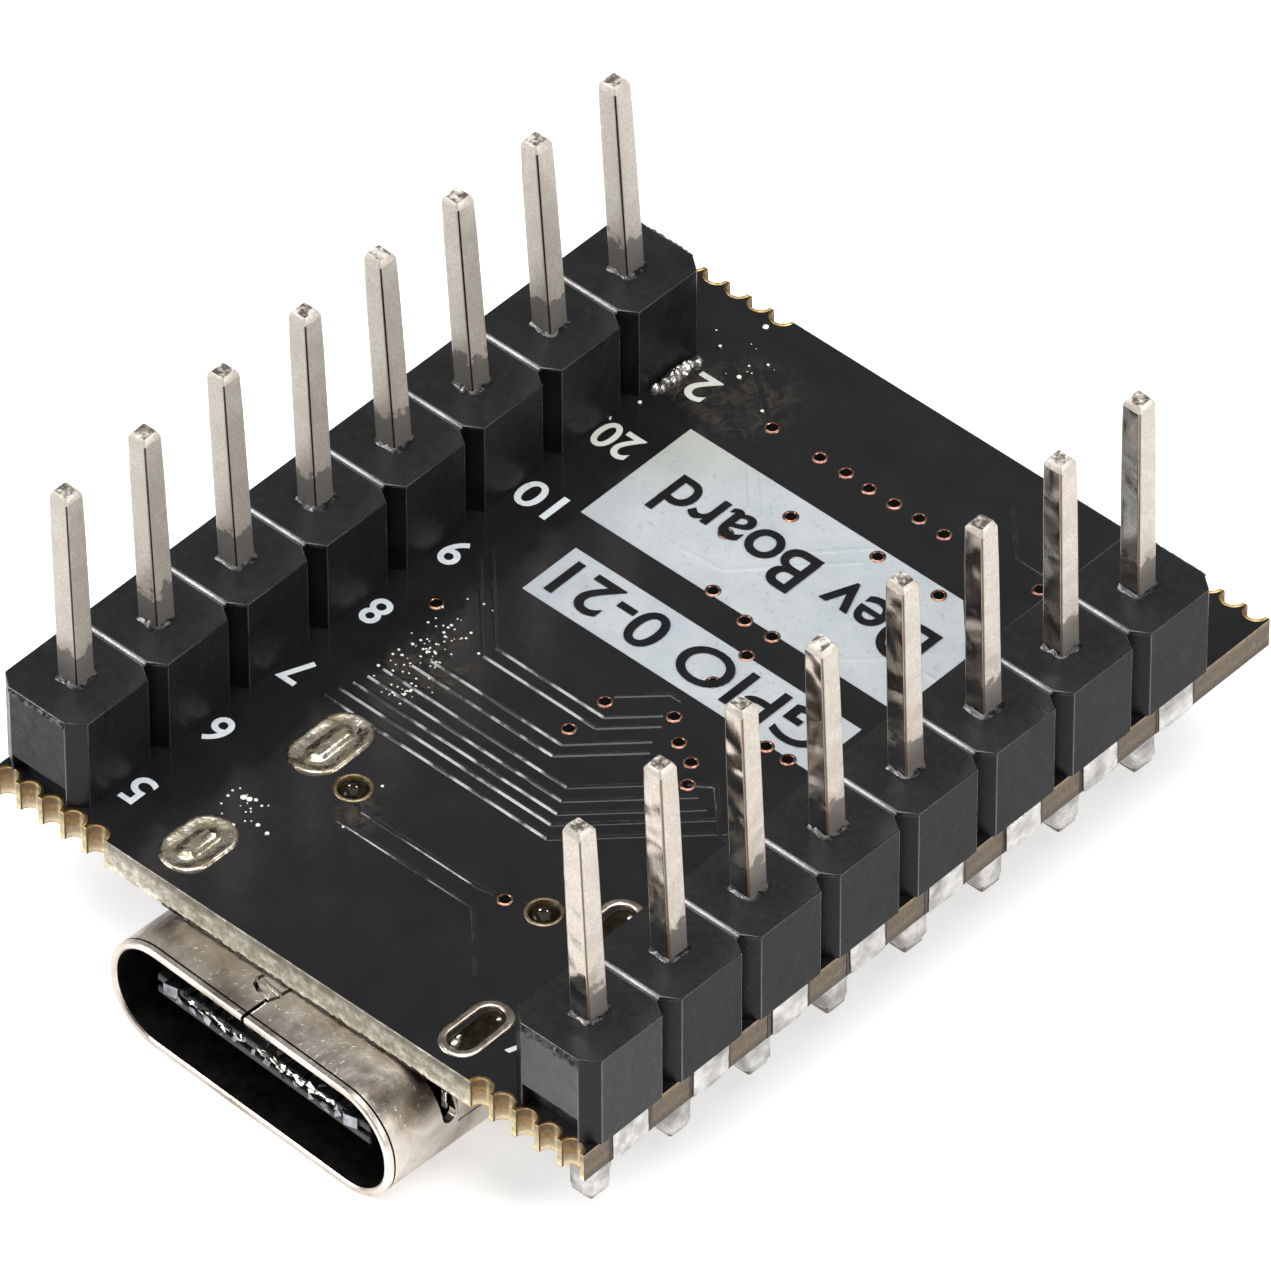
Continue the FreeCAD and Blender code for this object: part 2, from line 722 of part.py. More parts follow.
def passives():
    """Capacitors in a row behind the chip, and resistors between the buttons."""
    sizes = ("{passive_length}", "{passive_width}", "{capacitor_thickness}", "{passive_end}")
    bodies = []
    caps = []
    for step in (-2, -1, 0, 1, 2):
        centre = (f"{step} * {{capacitor_pitch}}", "{capacitor_row}")
        middle, ends = capped_chip(f"capacitor_{step + 3}", centre, True, sizes)
        bodies.append(middle)
        caps += ends
    middle, ends = capped_chip("antenna_capacitor", ("0", "{antenna_capacitor_row}"), False, sizes)
    group(bodies + [middle], "capacitors")
    group(caps + ends, "capacitor_ends")

    sizes = ("{passive_length}", "{passive_width}", "{resistor_thickness}", "{passive_end}")
    bodies = []
    caps = []
    for step in (-1, 0, 1):
        centre = (f"{step} * {{resistor_pitch}}", "-{button_row}")
        middle, ends = capped_chip(f"resistor_{step + 2}", centre, True, sizes)
        bodies.append(middle)
        caps += ends
    group(bodies, "resistors")
    group(caps, "resistor_ends")


def leds():
    """Power light on one side and user light on the other."""
    sizes = ("{led_length}", "{led_width}", "{led_thickness}", "{led_end}")
    row = "{led_row}"
    caps = []
    for label, sign in (("power_led", "-"), ("user_led", "+")):
        middle, ends = capped_chip(f"{label}_chip", (f"{sign}{{led_place}}", row), True, sizes)
        subpart(middle, label)
        caps += ends
    group(caps, "led_ends")


def voltage_regulator():
    """Small outline regulator: a moulded block that stands on five bent leads."""
    x = "-{regulator_place}"
    y = "{regulator_row}"
    size = ("{regulator_width}", "{regulator_length}", "{regulator_thickness}")
    low = hanging("{regulator_standoff} + {regulator_thickness}")
    subpart(block("voltage_regulator", size, (x, y), low), "voltage_regulator")

    pieces = []
    middle_height = "{regulator_standoff} + {regulator_thickness} / 2"
    for side, sign, steps in (("outer", "-", (-1, 0, 1)), ("inner", "+", (-1, 1))):
        for step in steps:
            along = f"{y} + {step} * {{lead_pitch}}"
            wall = f"{x} {sign} ({{regulator_width}} + {{lead_thickness}}) / 2"
            size = ("{lead_thickness}", "{lead_width}", middle_height)
            upright = block(f"lead_{side}_{step + 1}", size, (wall, along), hanging(middle_height))
            size = ("{lead_reach}", "{lead_width}", "{lead_thickness}")
            toe = f"{x} {sign} ({{regulator_width}} + {{lead_reach}}) / 2"
            foot = block(f"lead_foot_{side}_{step + 1}", size, (toe, along), hanging("{lead_thickness}"))
            lead = document.addObject("Part::Fuse", f"bent_lead_{side}_{step + 1}")
            lead.Base = upright
            lead.Tool = foot
            pieces.append(lead)
    group(pieces, "regulator_leads")


# Push buttons, each hanging from the component side


def button_body(name, sign):
    """A body at the middle of a button's seat; its pieces reach down from Z = 0."""
    return new_body(name, x=f"{sign}{{button_place}}", y="-{button_row}", z=BOARD_BOTTOM)


def button_base(name, sign):
    """Moulded tray with a round-cornered well."""
    body = button_body(f"{name}_base", sign)
    tray = new_sketch(body, f"{name}_tray")
    centred_rectangle(tray, "0", "0", "{button_length}", "{button_width}")
    pad(body, tray, "{button_base_height}", flip=True)
    well = new_sketch(body, f"{name}_well", height="-{button_base_height}")
    rounded_outline(well, "0", "0", "{button_well_length}", "{button_well_width}", "{button_well_corner}")
    pocket(body, well, "{button_base_height} - {button_floor}")
    subpart(body, f"{name}_base")


def button_cover(name, sign):
    """Steel cover with a round hole and a clip down each long side."""
    body = button_body(f"{name}_cover", sign)
    plate = new_sketch(body, f"{name}_plate", height="-{button_base_height}")
    width = "({button_width} + 2 * {button_clip_thickness})"
    centred_rectangle(plate, "0", "0", "{button_cover_length}", width)
    circle(plate, "0", "0", "{button_cover_hole}")
    pad(body, plate, "{button_cover_thickness}", flip=True)
    clips = new_sketch(body, f"{name}_clips", height="-{button_base_height}")
    for side in SIDES.values():
        along = f"({side}({{button_width}} + {{button_clip_thickness}}) / 2)"
        centred_rectangle(clips, "0", along, "{button_clip_length}", "{button_clip_thickness}")
    pad(body, clips, "{button_clip_height}")
    subpart(body, f"{name}_cover")


def button_dome(name, sign):
    """Thin snap dome on the floor of the well, its crown towards the plunger."""
    body = button_body(f"{name}_dome", sign)
    profile = new_sketch(body, f"{name}_dome_profile", plane="XZ_Plane")
    floor = "{button_floor}"
    rim = "{dome_diameter} / 2"
    crown = "({button_floor} + {dome_height})"
    outline(profile, [
        ("0", f"-{crown}"),
        ("{dome_shoulder} / 2", f"-({floor} + {{dome_shoulder_height}})"),
        (rim, f"-({floor} + {{dome_thickness}})"),
        (rim, f"-{floor}"),
        ("{dome_shoulder} / 2", f"-({floor} + {{dome_shoulder_height}} - {{dome_thickness}})"),
        ("0", f"-({crown} - {{dome_thickness}})"),
    ])
    dome = body.newObject("PartDesign::Revolution", f"{name}_dome_turned")
    dome.Profile = profile
    dome.ReferenceAxis = (profile, ["V_Axis"])
    dome.Angle = 360
    finish(body, dome)
    subpart(body, f"{name}_dome")


def button_plunger(name, sign):
    """Round plunger whose flange is held under the cover and rests on the dome's crown."""
    body = button_body(f"{name}_plunger", sign)
    crown = "({button_floor} + {dome_height})"
    flange = new_sketch(body, f"{name}_flange", height=f"-{crown}")
    circle(flange, "0", "0", "{plunger_flange}")
    pad(body, flange, "{plunger_flange_height}", flip=True)
    stem = new_sketch(body, f"{name}_stem", height=f"-({crown} + {{plunger_flange_height}})")
    circle(stem, "0", "0", "{plunger_diameter}")
    stem_pad = pad(body, stem, "{plunger_height} - {plunger_flange_height}", flip=True)
    low = min(edge.BoundBox.ZMin for edge in stem_pad.Shape.Edges)
    ends = []
    for index, edge in enumerate(stem_pad.Shape.Edges, start=1):
        if edge.BoundBox.ZMax < low + 0.001:
            ends.append(f"Edge{index}")
    rounding = body.newObject("PartDesign::Fillet", f"{name}_plunger_rounding")
    rounding.Base = (stem_pad, ends)
    bind(rounding, Radius="{plunger_rounding}")
    finish(body, rounding)
    subpart(body, f"{name}_plunger")


def button_terminals(name, sign):
    """Four flat terminals at the corners of the tray's short ends."""
    pieces = []
    for end in ("-", "+"):
        for along in ("-", "+"):
            reach = f"{end}({{button_length}} + {{terminal_length}}) / 2"
            x = f"{sign}{{button_place}} + ({reach})"
            y = f"-{{button_row}} {along} {{terminal_place}}"
            size = ("{terminal_length}", "{terminal_width}", "{terminal_thickness}")
            title = f"{name}_terminal_{len(pieces) + 1}"
            pieces.append(block(title, size, (x, y), hanging("{terminal_thickness}")))
    group(pieces, f"{name}_terminals")


def check_document():
    """Stop if any object failed to recompute or any sub-part has no valid solid."""
    for thing in document.Objects:
        if "Invalid" in thing.State or "Error" in thing.State:
            raise RuntimeError(f"{thing.Name} failed: {thing.State}")
    for thing in subparts:
        if thing.Shape.isNull() or not thing.Shape.isValid() or not thing.Shape.Solids:
            raise RuntimeError(f"{thing.Label} has no valid solid")


def write_steps():
    """Write each sub-part to a file of its own."""
    os.makedirs("parts", exist_ok=True)
    for thing in subparts:
        thing.Shape.exportStep(f"parts/{thing.Label}.step")
        print(f"{thing.Label}: {len(thing.Shape.Solids)} solids, {thing.Shape.Volume:.3f} mm3")


fill_sheet()
circuit_board()
for board_side, side_sign in SIDES.items():
    header_strip(board_side, side_sign)
    header_pins(board_side, side_sign)
    pin_solder(board_side, side_sign)
    edge_solder(board_side, side_sign)
usb_tab_solder(usb_shell())
usb_housing()
usb_tongue()
usb_mid_plate()
usb_contacts("upper", "{tongue_thickness} / 2 - {contact_thickness}")
usb_contacts("lower", "-{tongue_thickness} / 2")
usb_leads()
mcu_chip()
mcu_pads()
crystal()
ceramic_antenna()
voltage_regulator()
passives()
leds()
for button, side_sign in (("boot_button", "-"), ("reset_button", "+")):
    button_base(button, side_sign)
    button_cover(button, side_sign)
    button_dome(button, side_sign)
    button_plunger(button, side_sign)
    button_terminals(button, side_sign)
document.recompute()
check_document()
write_steps()
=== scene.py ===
import math
import random
from itertools import product

import bmesh
import bpy
from mathutils import Matrix, Vector, noise


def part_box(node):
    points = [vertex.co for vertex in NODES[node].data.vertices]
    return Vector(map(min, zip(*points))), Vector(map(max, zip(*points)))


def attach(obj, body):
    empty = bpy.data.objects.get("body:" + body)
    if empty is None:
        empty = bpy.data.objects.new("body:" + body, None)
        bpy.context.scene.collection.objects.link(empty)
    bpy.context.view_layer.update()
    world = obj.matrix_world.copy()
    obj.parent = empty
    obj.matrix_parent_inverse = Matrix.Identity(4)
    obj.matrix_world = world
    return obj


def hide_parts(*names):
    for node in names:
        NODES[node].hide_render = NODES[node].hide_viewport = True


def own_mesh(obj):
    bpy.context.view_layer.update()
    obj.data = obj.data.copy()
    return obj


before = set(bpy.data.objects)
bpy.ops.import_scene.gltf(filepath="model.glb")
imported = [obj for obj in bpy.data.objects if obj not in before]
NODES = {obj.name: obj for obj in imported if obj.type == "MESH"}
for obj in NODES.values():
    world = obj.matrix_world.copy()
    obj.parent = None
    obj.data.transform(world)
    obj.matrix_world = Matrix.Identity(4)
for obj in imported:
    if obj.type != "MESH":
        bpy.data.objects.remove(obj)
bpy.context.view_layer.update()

# Microcontroller dev board lying on its receptacle with the header pins up.
# Shapes are worked out in millimetres, in the part's own frame, and made in metres.

MM = 0.001


def span(node):
    """Lowest and highest corner of a CAD node in millimetres."""
    low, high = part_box(node)
    return low / MM, high / MM


BOARD_LOW, BOARD_HIGH = span("circuit_board")
STRIP_LOW, STRIP_HIGH = span("header_strip_right")
PIN_TOP = span("header_pins_right")[1].z
SHELL_FLOOR = span("usb_shell")[0].z
TONGUE_TOP = span("usb_tongue")[1].z
FACE = BOARD_HIGH.z
UNDER = BOARD_LOW.z
PITCH = 2.54
PIN_COUNT = 8
PIN_ROWS = {"left": -7.62, "right": 7.62}
OUTWARD = {"left": -1, "right": 1}
PIN_PLACES = [PITCH * (pin - (PIN_COUNT - 1) / 2) for pin in range(PIN_COUNT)]
PIN_HALF = 0.3
SLOT_MIDDLE = Vector((0.3, -6.95, 0))
USB_TURN = math.radians(-2.5)
SNAP_FIRST = 5.5
FOOT_HEIGHT = 1.0
# Signs of the four corners of a section, counter-clockwise.
QUARTERS = ((1, 1), (-1, 1), (-1, -1), (1, -1))

# ---------------------------------------------------------------- mesh helpers


def add_object(name, data):
    """An object of that data in the scene."""
    item = bpy.data.objects.new(name, data)
    bpy.context.scene.collection.objects.link(item)
    return item


def mesh_object(name, shape, scale=1.0, materials=()):
    """An object with a bmesh's faces turned outwards; the bmesh is used up."""
    bmesh.ops.recalc_face_normals(shape, faces=shape.faces)
    mesh = bpy.data.meshes.new(name)
    shape.to_mesh(mesh)
    shape.free()
    mesh.transform(Matrix.Scale(scale, 4))
    for material in materials:
        mesh.materials.append(material)
    return add_object(name, mesh)


def evaluated_mesh(item):
    """A new mesh of what an object looks like after its modifiers."""
    bpy.context.view_layer.update()
    return bpy.data.meshes.new_from_object(item.evaluated_get(bpy.context.evaluated_depsgraph_get()))


def new_piece(name, shape, materials, replaces=(), crease=35):
    """A piece of the board from a bmesh in millimetres."""
    piece = mesh_object(name, shape, MM, materials)
    piece.data.shade_smooth()
    piece.data.set_sharp_from_angle(angle=math.radians(crease))
    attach(piece, "board")
    if replaces:
        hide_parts(*replaces)
    return piece


def bevel(piece, width, segments=3, angle=30, material=-1):
    """Rounds a piece's sharp edges."""
    modifier = piece.modifiers.new("rounded_edges", "BEVEL")
    modifier.width = width * MM
    modifier.segments = segments
    modifier.limit_method = "ANGLE"
    modifier.angle_limit = math.radians(angle)
    modifier.miter_outer = "MITER_ARC"
    modifier.material = material
    flatten(piece)


def flatten(piece):
    """Keeps broad flat faces flat where they meet rounded edges."""
    modifier = piece.modifiers.new("flat_faces", "WEIGHTED_NORMAL")
    modifier.keep_sharp = True


def loft(shape, rings, closed=False):
    """Skin between rings of equal length, capped; closed joins the last ring to the first instead."""
    rows = [[shape.verts.new(point) for point in ring] for ring in rings]
    for below, above in zip(rows, rows[1:] + rows[:1] if closed else rows[1:]):
        for at in range(len(below)):
            after = (at + 1) % len(below)
            shape.faces.new((below[at], below[after], above[after], above[at]))
    if not closed:
        shape.faces.new(rows[0][::-1])
        shape.faces.new(rows[-1])


def prism(shape, outline, low, high):
    """Solid between two heights over a flat outline."""
    loft(shape, [[(x, y, z) for x, y in outline] for z in (low, high)])


def box(shape, corner, opposite, low, high):
    """Upright block between two opposite corners in plan and two heights."""
    (x, y), (far_x, far_y) = corner, opposite
    prism(shape, [(x, y), (far_x, y), (far_x, far_y), (x, far_y)], low, high)


def arc(steps, start=0.0, sweep=2 * math.pi, last=True):
    """Cosine and sine of evenly spaced turns, counter-clockwise; last includes the turn at the end."""
    turns = [start + sweep * at / steps for at in range(steps + last)]
    return [(math.cos(turn), math.sin(turn)) for turn in turns]


def circle_points(centre, radius, count, start=0.0, squash=1.0):
    """Points round a circle in plan."""
    x, y = centre
    return [(x + radius * c, y + radius * squash * s) for c, s in arc(count, start, last=False)]


def stadium_points(centre, width, length, count=40):
    """Points round a slot with half-round ends, long along Y, and their outward directions."""
    radius = width / 2
    run = length / 2 - radius
    points = []
    for out in arc(count, math.pi / count, last=False):
        end = run if out[1] > 0 else -run
        points.append(((centre[0] + radius * out[0], centre[1] + end + radius * out[1]), out))
    return points


def ring_path(centre, radius, count):
    """Points round a circle and their outward directions."""
    x, y = centre
    return [((x + radius * c, y + radius * s), (c, s)) for c, s in arc(count, last=False)]


def sweep_ring(shape, path, profile, wobble=0.0):
    """A closed profile of (outward, height) pairs carried round a closed path."""
    rings = []
    for (x, y), (out_x, out_y) in path:
        ring = []
        for outward, height in profile:
            outward += wobble * noise.noise(Vector((x, y, height)) * 2.3)
            ring.append((x + out_x * outward, y + out_y * outward, height))
        rings.append(ring)
    loft(shape, rings, closed=True)


def dome(shape, centre, radius, height, base, squash=1.0, lump=0.0, turn=0.0, segments=20):
    """A low round cap with an optional uneven surface, closed underneath."""
    rings = []
    for step in range(6):
        tilt = step / 5.5 * math.pi / 2
        ring = []
        for x, y in circle_points(centre, radius * math.cos(tilt), segments, turn, squash):
            point = Vector((x, y, base + height * math.sin(tilt)))
            point.z += lump * noise.noise(point * 3.1) * math.sin(tilt)
            ring.append(point)
        rings.append(ring)
    loft(shape, [[(point.x, point.y, base - 0.01) for point in rings[0]]] + rings)


def ridge(shape, points, width, height, base):
    """A low rounded ridge along a polyline on a flat face."""
    profile = [(-0.5, -0.3), (-0.36, 0.55), (-0.13, 1.0), (0.13, 1.0), (0.36, 0.55), (0.5, -0.3)]
    flat = [(across * width, base + height * up) for across, up in profile]
    rings = []
    places = [Vector(point) for point in points]
    legs = [(after - before).normalized() for before, after in zip(places, places[1:])]
    for at, here in enumerate(places):
        directions = legs[max(0, at - 1):at + 1]
        along = sum(directions, Vector((0, 0))).normalized()
        side = Vector((-along.y, along.x)) / max(0.5, along.dot(directions[0]))
        rings.append([(here.x + side.x * across, here.y + side.y * across, level) for across, level in flat])
    loft(shape, rings)


# ------------------------------------------------------------ material helpers


class Finish:
    """A node material built up step by step, with coordinates in millimetres."""

    def __init__(self, name):
        self.material = bpy.data.materials.new(name)
        self.material.use_nodes = True
        self.tree = self.material.node_tree
        self.shader = self.tree.nodes["Principled BSDF"]
        source = self.node("TexCoord")
        self.normal = source.outputs["Normal"]
        scaled = self.node("VectorMath", {0: source.outputs["Object"], "Scale": 1 / MM}, operation="SCALE")
        self.place = scaled.outputs[0]

    def feed(self, socket, value):
        """Links a node's output to a socket, or sets it to a number, a vector or a colour."""
        if isinstance(value, bpy.types.NodeSocket):
            self.tree.links.new(value, socket)
        elif socket.type == "RGBA":
            socket.default_value = (*value, 1)
        else:
            socket.default_value = value

    def node(self, kind, inputs=None, **settings):
        """A new node with some settings, fed by name or number of input."""
        node = self.tree.nodes.new(f"ShaderNode{kind}")
        for name, value in settings.items():
            setattr(node, name, value)
        for name, value in (inputs or {}).items():
            self.feed(node.inputs[name], value)
        return node

    def stretched(self, x, y, z):
        """Coordinates multiplied along each axis, for streaks and weaves."""
        return self.node("VectorMath", {0: self.place, 1: (x, y, z)}, operation="MULTIPLY").outputs[0]

    def noise(self, scale, detail=4, rough=0.55, where=None, distort=0.0):
        """Fractal noise between 0 and 1."""
        inputs = {"Scale": scale, "Detail": detail, "Roughness": rough, "Distortion": distort}
        return self.node("TexNoise", {"Vector": where or self.place, **inputs}).outputs["Fac"]

    def ramp(self, value, *stops):
        """Blend between (position, grey or colour) stops."""
        node = self.node("ValToRGB", {"Fac": value})
        colours = node.color_ramp.elements
        while len(colours) < len(stops):
            colours.new(0.5)
        for element, (position, shade) in zip(colours, stops):
            element.position = position
            element.color = (*shade, 1) if isinstance(shade, tuple) else (shade, shade, shade, 1)
        return node.outputs["Color"]

    def mottle(self, value, *shades):
        """Blend between evenly spaced shades across the middle of a noise."""
        gap = 0.4 / (len(shades) - 1)
        return self.ramp(value, *((0.3 + gap * at, shade) for at, shade in enumerate(shades)))

    def math(self, operation, first, second=0.0):
        """One step of arithmetic on two values, each a number or a node's output."""
        return self.node("Math", {0: first, 1: second}, operation=operation).outputs[0]

    def plus(self, first, second):
        return self.math("ADD", first, second)

    def minus(self, first, second):
        return self.math("SUBTRACT", first, second)

    def times(self, first, second):
        return self.math("MULTIPLY", first, second)

    def inverse(self, value):
        """1 where the value is 0, 0 where it is 1."""
        return self.minus(1.0, value)

    def blend(self, factor, first, second, kind="MIX"):
        """First colour where the factor is 0, second where it is 1."""
        inputs = {0: factor, 6: first, 7: second}
        return self.node("Mix", inputs, data_type="RGBA", blend_type=kind).outputs[2]

    def axis(self, vector, name):
        """One axis of a vector."""
        return self.node("SeparateXYZ", {0: vector}).outputs[name]

    def size(self, vector, name):
        """Absolute value of one axis of a vector."""
        return self.math("ABSOLUTE", self.axis(vector, name))

    def distance(self, point):
        """Distance from a point given in millimetres."""
        return self.node("VectorMath", {0: self.place, 1: point}, operation="DISTANCE").outputs["Value"]

    def step(self, value, low, high):
        """0 below low, 1 above high."""
        inputs = {"Value": value, "From Min": low, "From Max": high}
        return self.node("MapRange", inputs, interpolation_type="SMOOTHSTEP").outputs["Result"]

    def fall(self, value, low, high):
        """1 below low, 0 above high."""
        return self.inverse(self.step(value, low, high))

    def swing(self, noise, reach):
        """Noise turned into a value either side of 0."""
        return self.times(self.minus(noise, 0.5), reach)

    def bump(self, height, depth):
        """Bump from a height between 0 and 1, depth in millimetres, over the bumps already there."""
        normal = self.shader.inputs["Normal"]
        inputs = {"Height": height, "Strength": 1.0, "Distance": depth * MM}
        if normal.links:
            inputs["Normal"] = normal.links[0].from_socket
        self.feed(normal, self.node("Bump", inputs).outputs[0])

    def set(self, **sockets):
        """Shader inputs by name, with _ for a space: a constant or a node's output."""
        for name, value in sockets.items():
            self.feed(self.shader.inputs[name.replace("_", " ")], value)


# ------------------------------------------------------------------- materials


# Thin smears of flux on the mask: X, Y, radius of the full smear, radius where it has faded out.
FLUX_FILMS = [(-4.6, 9.4, 0.4, 1.9), (-3.9, -1.6, 0.2, 1.5), (-6.0, 8.9, 0.2, 1.0), (-1.9, -6.0, 0.1, 0.8)]


def board_material():
    """Glossy black solder mask on the two faces, sawn glass-epoxy on the edges and hole walls, banded by
    height with painted highlights and painted shade.
    """
    f = Finish("board_mask_and_edge")
    facing = f.step(f.size(f.normal, "Z"), 0.5, 0.75)
    mask = f.mottle(f.noise(0.9, 3), (0.0085, 0.0085, 0.0095), (0.013, 0.013, 0.014))
    film = f.ramp(f.noise(2.4, 5, 0.65, distort=1.2), (0.44, 0.0), (0.62, 1.0))
    film = f.times(film, f.step(f.axis(f.place, "Z"), UNDER, FACE))
    for x, y, near, far in FLUX_FILMS:
        spread = f.fall(f.distance((x, y, FACE)), near, far)
        mask = f.blend(f.times(f.times(spread, film), 0.75), mask, (0.06, 0.05, 0.036))
    speck = f.noise(9, 5, 0.7)
    saw = f.noise(1.0, 4, 0.6, where=f.stretched(1.2, 1.2, 16))
    chips = f.noise(4.5, 5, 0.72)
    pale_stops = ((0.32, (0.27, 0.225, 0.14)), (0.5, (0.50, 0.46, 0.37)), (0.64, (0.80, 0.78, 0.68)))
    pale = f.ramp(chips, *pale_stops)
    brown_stops = ((0.3, (0.055, 0.036, 0.018)), (0.55, (0.15, 0.105, 0.06)), (0.75, (0.29, 0.22, 0.13)))
    brown = f.ramp(speck, *brown_stops)
    amber = f.mottle(speck, (0.20, 0.095, 0.02), (0.52, 0.33, 0.11))
    golden = f.mottle(speck, (0.42, 0.28, 0.10), (0.66, 0.53, 0.28), (0.82, 0.74, 0.52))
    long_edge = f.step(f.size(f.normal, "X"), 0.97, 0.995)
    short_edge = f.step(f.size(f.normal, "Y"), 0.97, 0.995)
    corner = f.step(f.size(f.place, "X"), SNAP_FIRST - 0.2, SNAP_FIRST)
    wander = f.swing(f.noise(5, 3), 0.18)
    depth = f.plus(f.math("DIVIDE", f.minus(f.axis(f.place, "Z"), UNDER), FACE - UNDER), wander)
    # Hole walls turn cream towards the bottom: a painted highlight.
    amber = f.blend(f.ramp(depth, (0.12, 0.85), (0.5, 0.0)), amber, (0.62, 0.54, 0.38))
    edge = f.blend(long_edge, amber, brown)
    edge = f.blend(short_edge, edge, f.blend(corner, pale, golden))
    # Height bands on the short edges and hole walls: the board's layers, with a painted highlight low down
    # and painted shade higher up.
    layer_and_light_stops = ((0.0, 1.4), (0.12, 1.3), (0.22, 0.85), (0.6, 0.8), (0.78, 0.42), (0.92, 0.34), (0.97, 0.9))
    layers_and_painted_light = f.ramp(depth, *layer_and_light_stops)
    # Height bands on the long edges: darker towards the bottom, with a painted highlight along the top.
    band_and_highlight_stops = ((0.0, 0.35), (0.18, 0.5), (0.35, 0.85), (0.6, 0.6), (0.8, 0.75), (0.93, 1.0), (0.98, 1.9))
    bands_and_highlight = f.ramp(depth, *band_and_highlight_stops)
    edge = f.blend(1.0, edge, f.blend(long_edge, layers_and_painted_light, bands_and_highlight), "MULTIPLY")
    f.set(Base_Color=f.blend(facing, edge, mask))
    gloss = f.ramp(f.noise(2.2, 4), (0.35, 0.13), (0.7, 0.22))
    dull = f.mottle(speck, 0.42, 0.7)
    f.set(Roughness=f.blend(facing, dull, gloss))
    f.bump(f.noise(1.3, 3), 0.008)
    inverse = f.inverse(facing)
    f.bump(f.times(f.plus(speck, saw), inverse), 0.03)
    return f.material


def mask_material(name, shine):
    """Solder mask that stands up from the board, glossier in places, with a painted glint in patches on
    slopes that face -Y.
    """
    f = Finish(name)
    tint = f.mottle(f.noise(2.0), (0.010, 0.010, 0.011), (0.016, 0.016, 0.018))
    # Slopes facing -Y are lightened in patches: a painted glint.
    square_on = f.fall(f.size(f.normal, "X"), 0.03, 0.08)
    front = f.times(f.axis(f.normal, "Y"), -1.0)
    slope = f.times(f.step(front, 0.08, 0.2), square_on)
    slope = f.times(slope, f.ramp(f.noise(1.3, 3), (0.46, 0.0), (0.58, 1.0)))
    f.set(Base_Color=f.blend(f.times(slope, 0.7), tint, (0.6, 0.6, 0.61)))
    f.set(Roughness=f.ramp(f.noise(1.6, 3), (0.4, 0.05), (0.62, 0.34)), Specular_IOR_Level=shine)
    f.bump(f.noise(3.1, 3), 0.006)
    return f.material


def plastic_material(name, dark, light, rough, grain, sheen=0.5):
    """Moulded plastic with a fine grain, flow marks and scuffs; slanted walls are darkened as painted shade,
    and faces square to X reflect less as painted shade, more so where X > 0 and Y > -8.
    """
    f = Finish(name)
    flow = f.noise(0.8, 4, 0.6, distort=0.6)
    scuff = f.ramp(f.noise(3.0, 6, 0.7, where=f.stretched(1, 1, 0.35)), (0.55, 0.0), (0.75, 1.0))
    tint = f.mottle(flow, dark, light)
    paler = tuple(min(1.0, c * 1.8 + 0.012) for c in light)
    side = f.size(f.normal, "X")
    # Slanted walls darker and less reflective: painted shade.
    slant = f.times(f.step(side, 0.2, 0.4), f.fall(side, 0.85, 0.95))
    tint = f.blend(f.times(scuff, 0.35), tint, paler)
    f.set(Base_Color=f.blend(slant, tint, (0.005, 0.005, 0.0053)))
    # Faces square to X reflect less, more so where X > 0 and Y > -8: painted shade.
    rear = f.step(f.axis(f.place, "Y"), -8.0, -7.2)
    rear = f.times(rear, f.step(f.axis(f.place, "X"), 0.0, 1.0))
    shade_loss = f.plus(f.times(rear, 0.2 * sheen), 0.64 * sheen)
    level = f.minus(sheen, f.times(f.step(side, 0.95, 0.99), shade_loss))
    f.set(Specular_IOR_Level=f.times(level, f.inverse(f.times(slant, 0.6))))
    f.set(Roughness=f.mottle(f.noise(4.5, 5), rough - 0.07, rough + 0.1))
    f.bump(f.noise(22, 3), grain)
    f.bump(f.noise(2.2, 4), grain * 1.5)
    return f.material


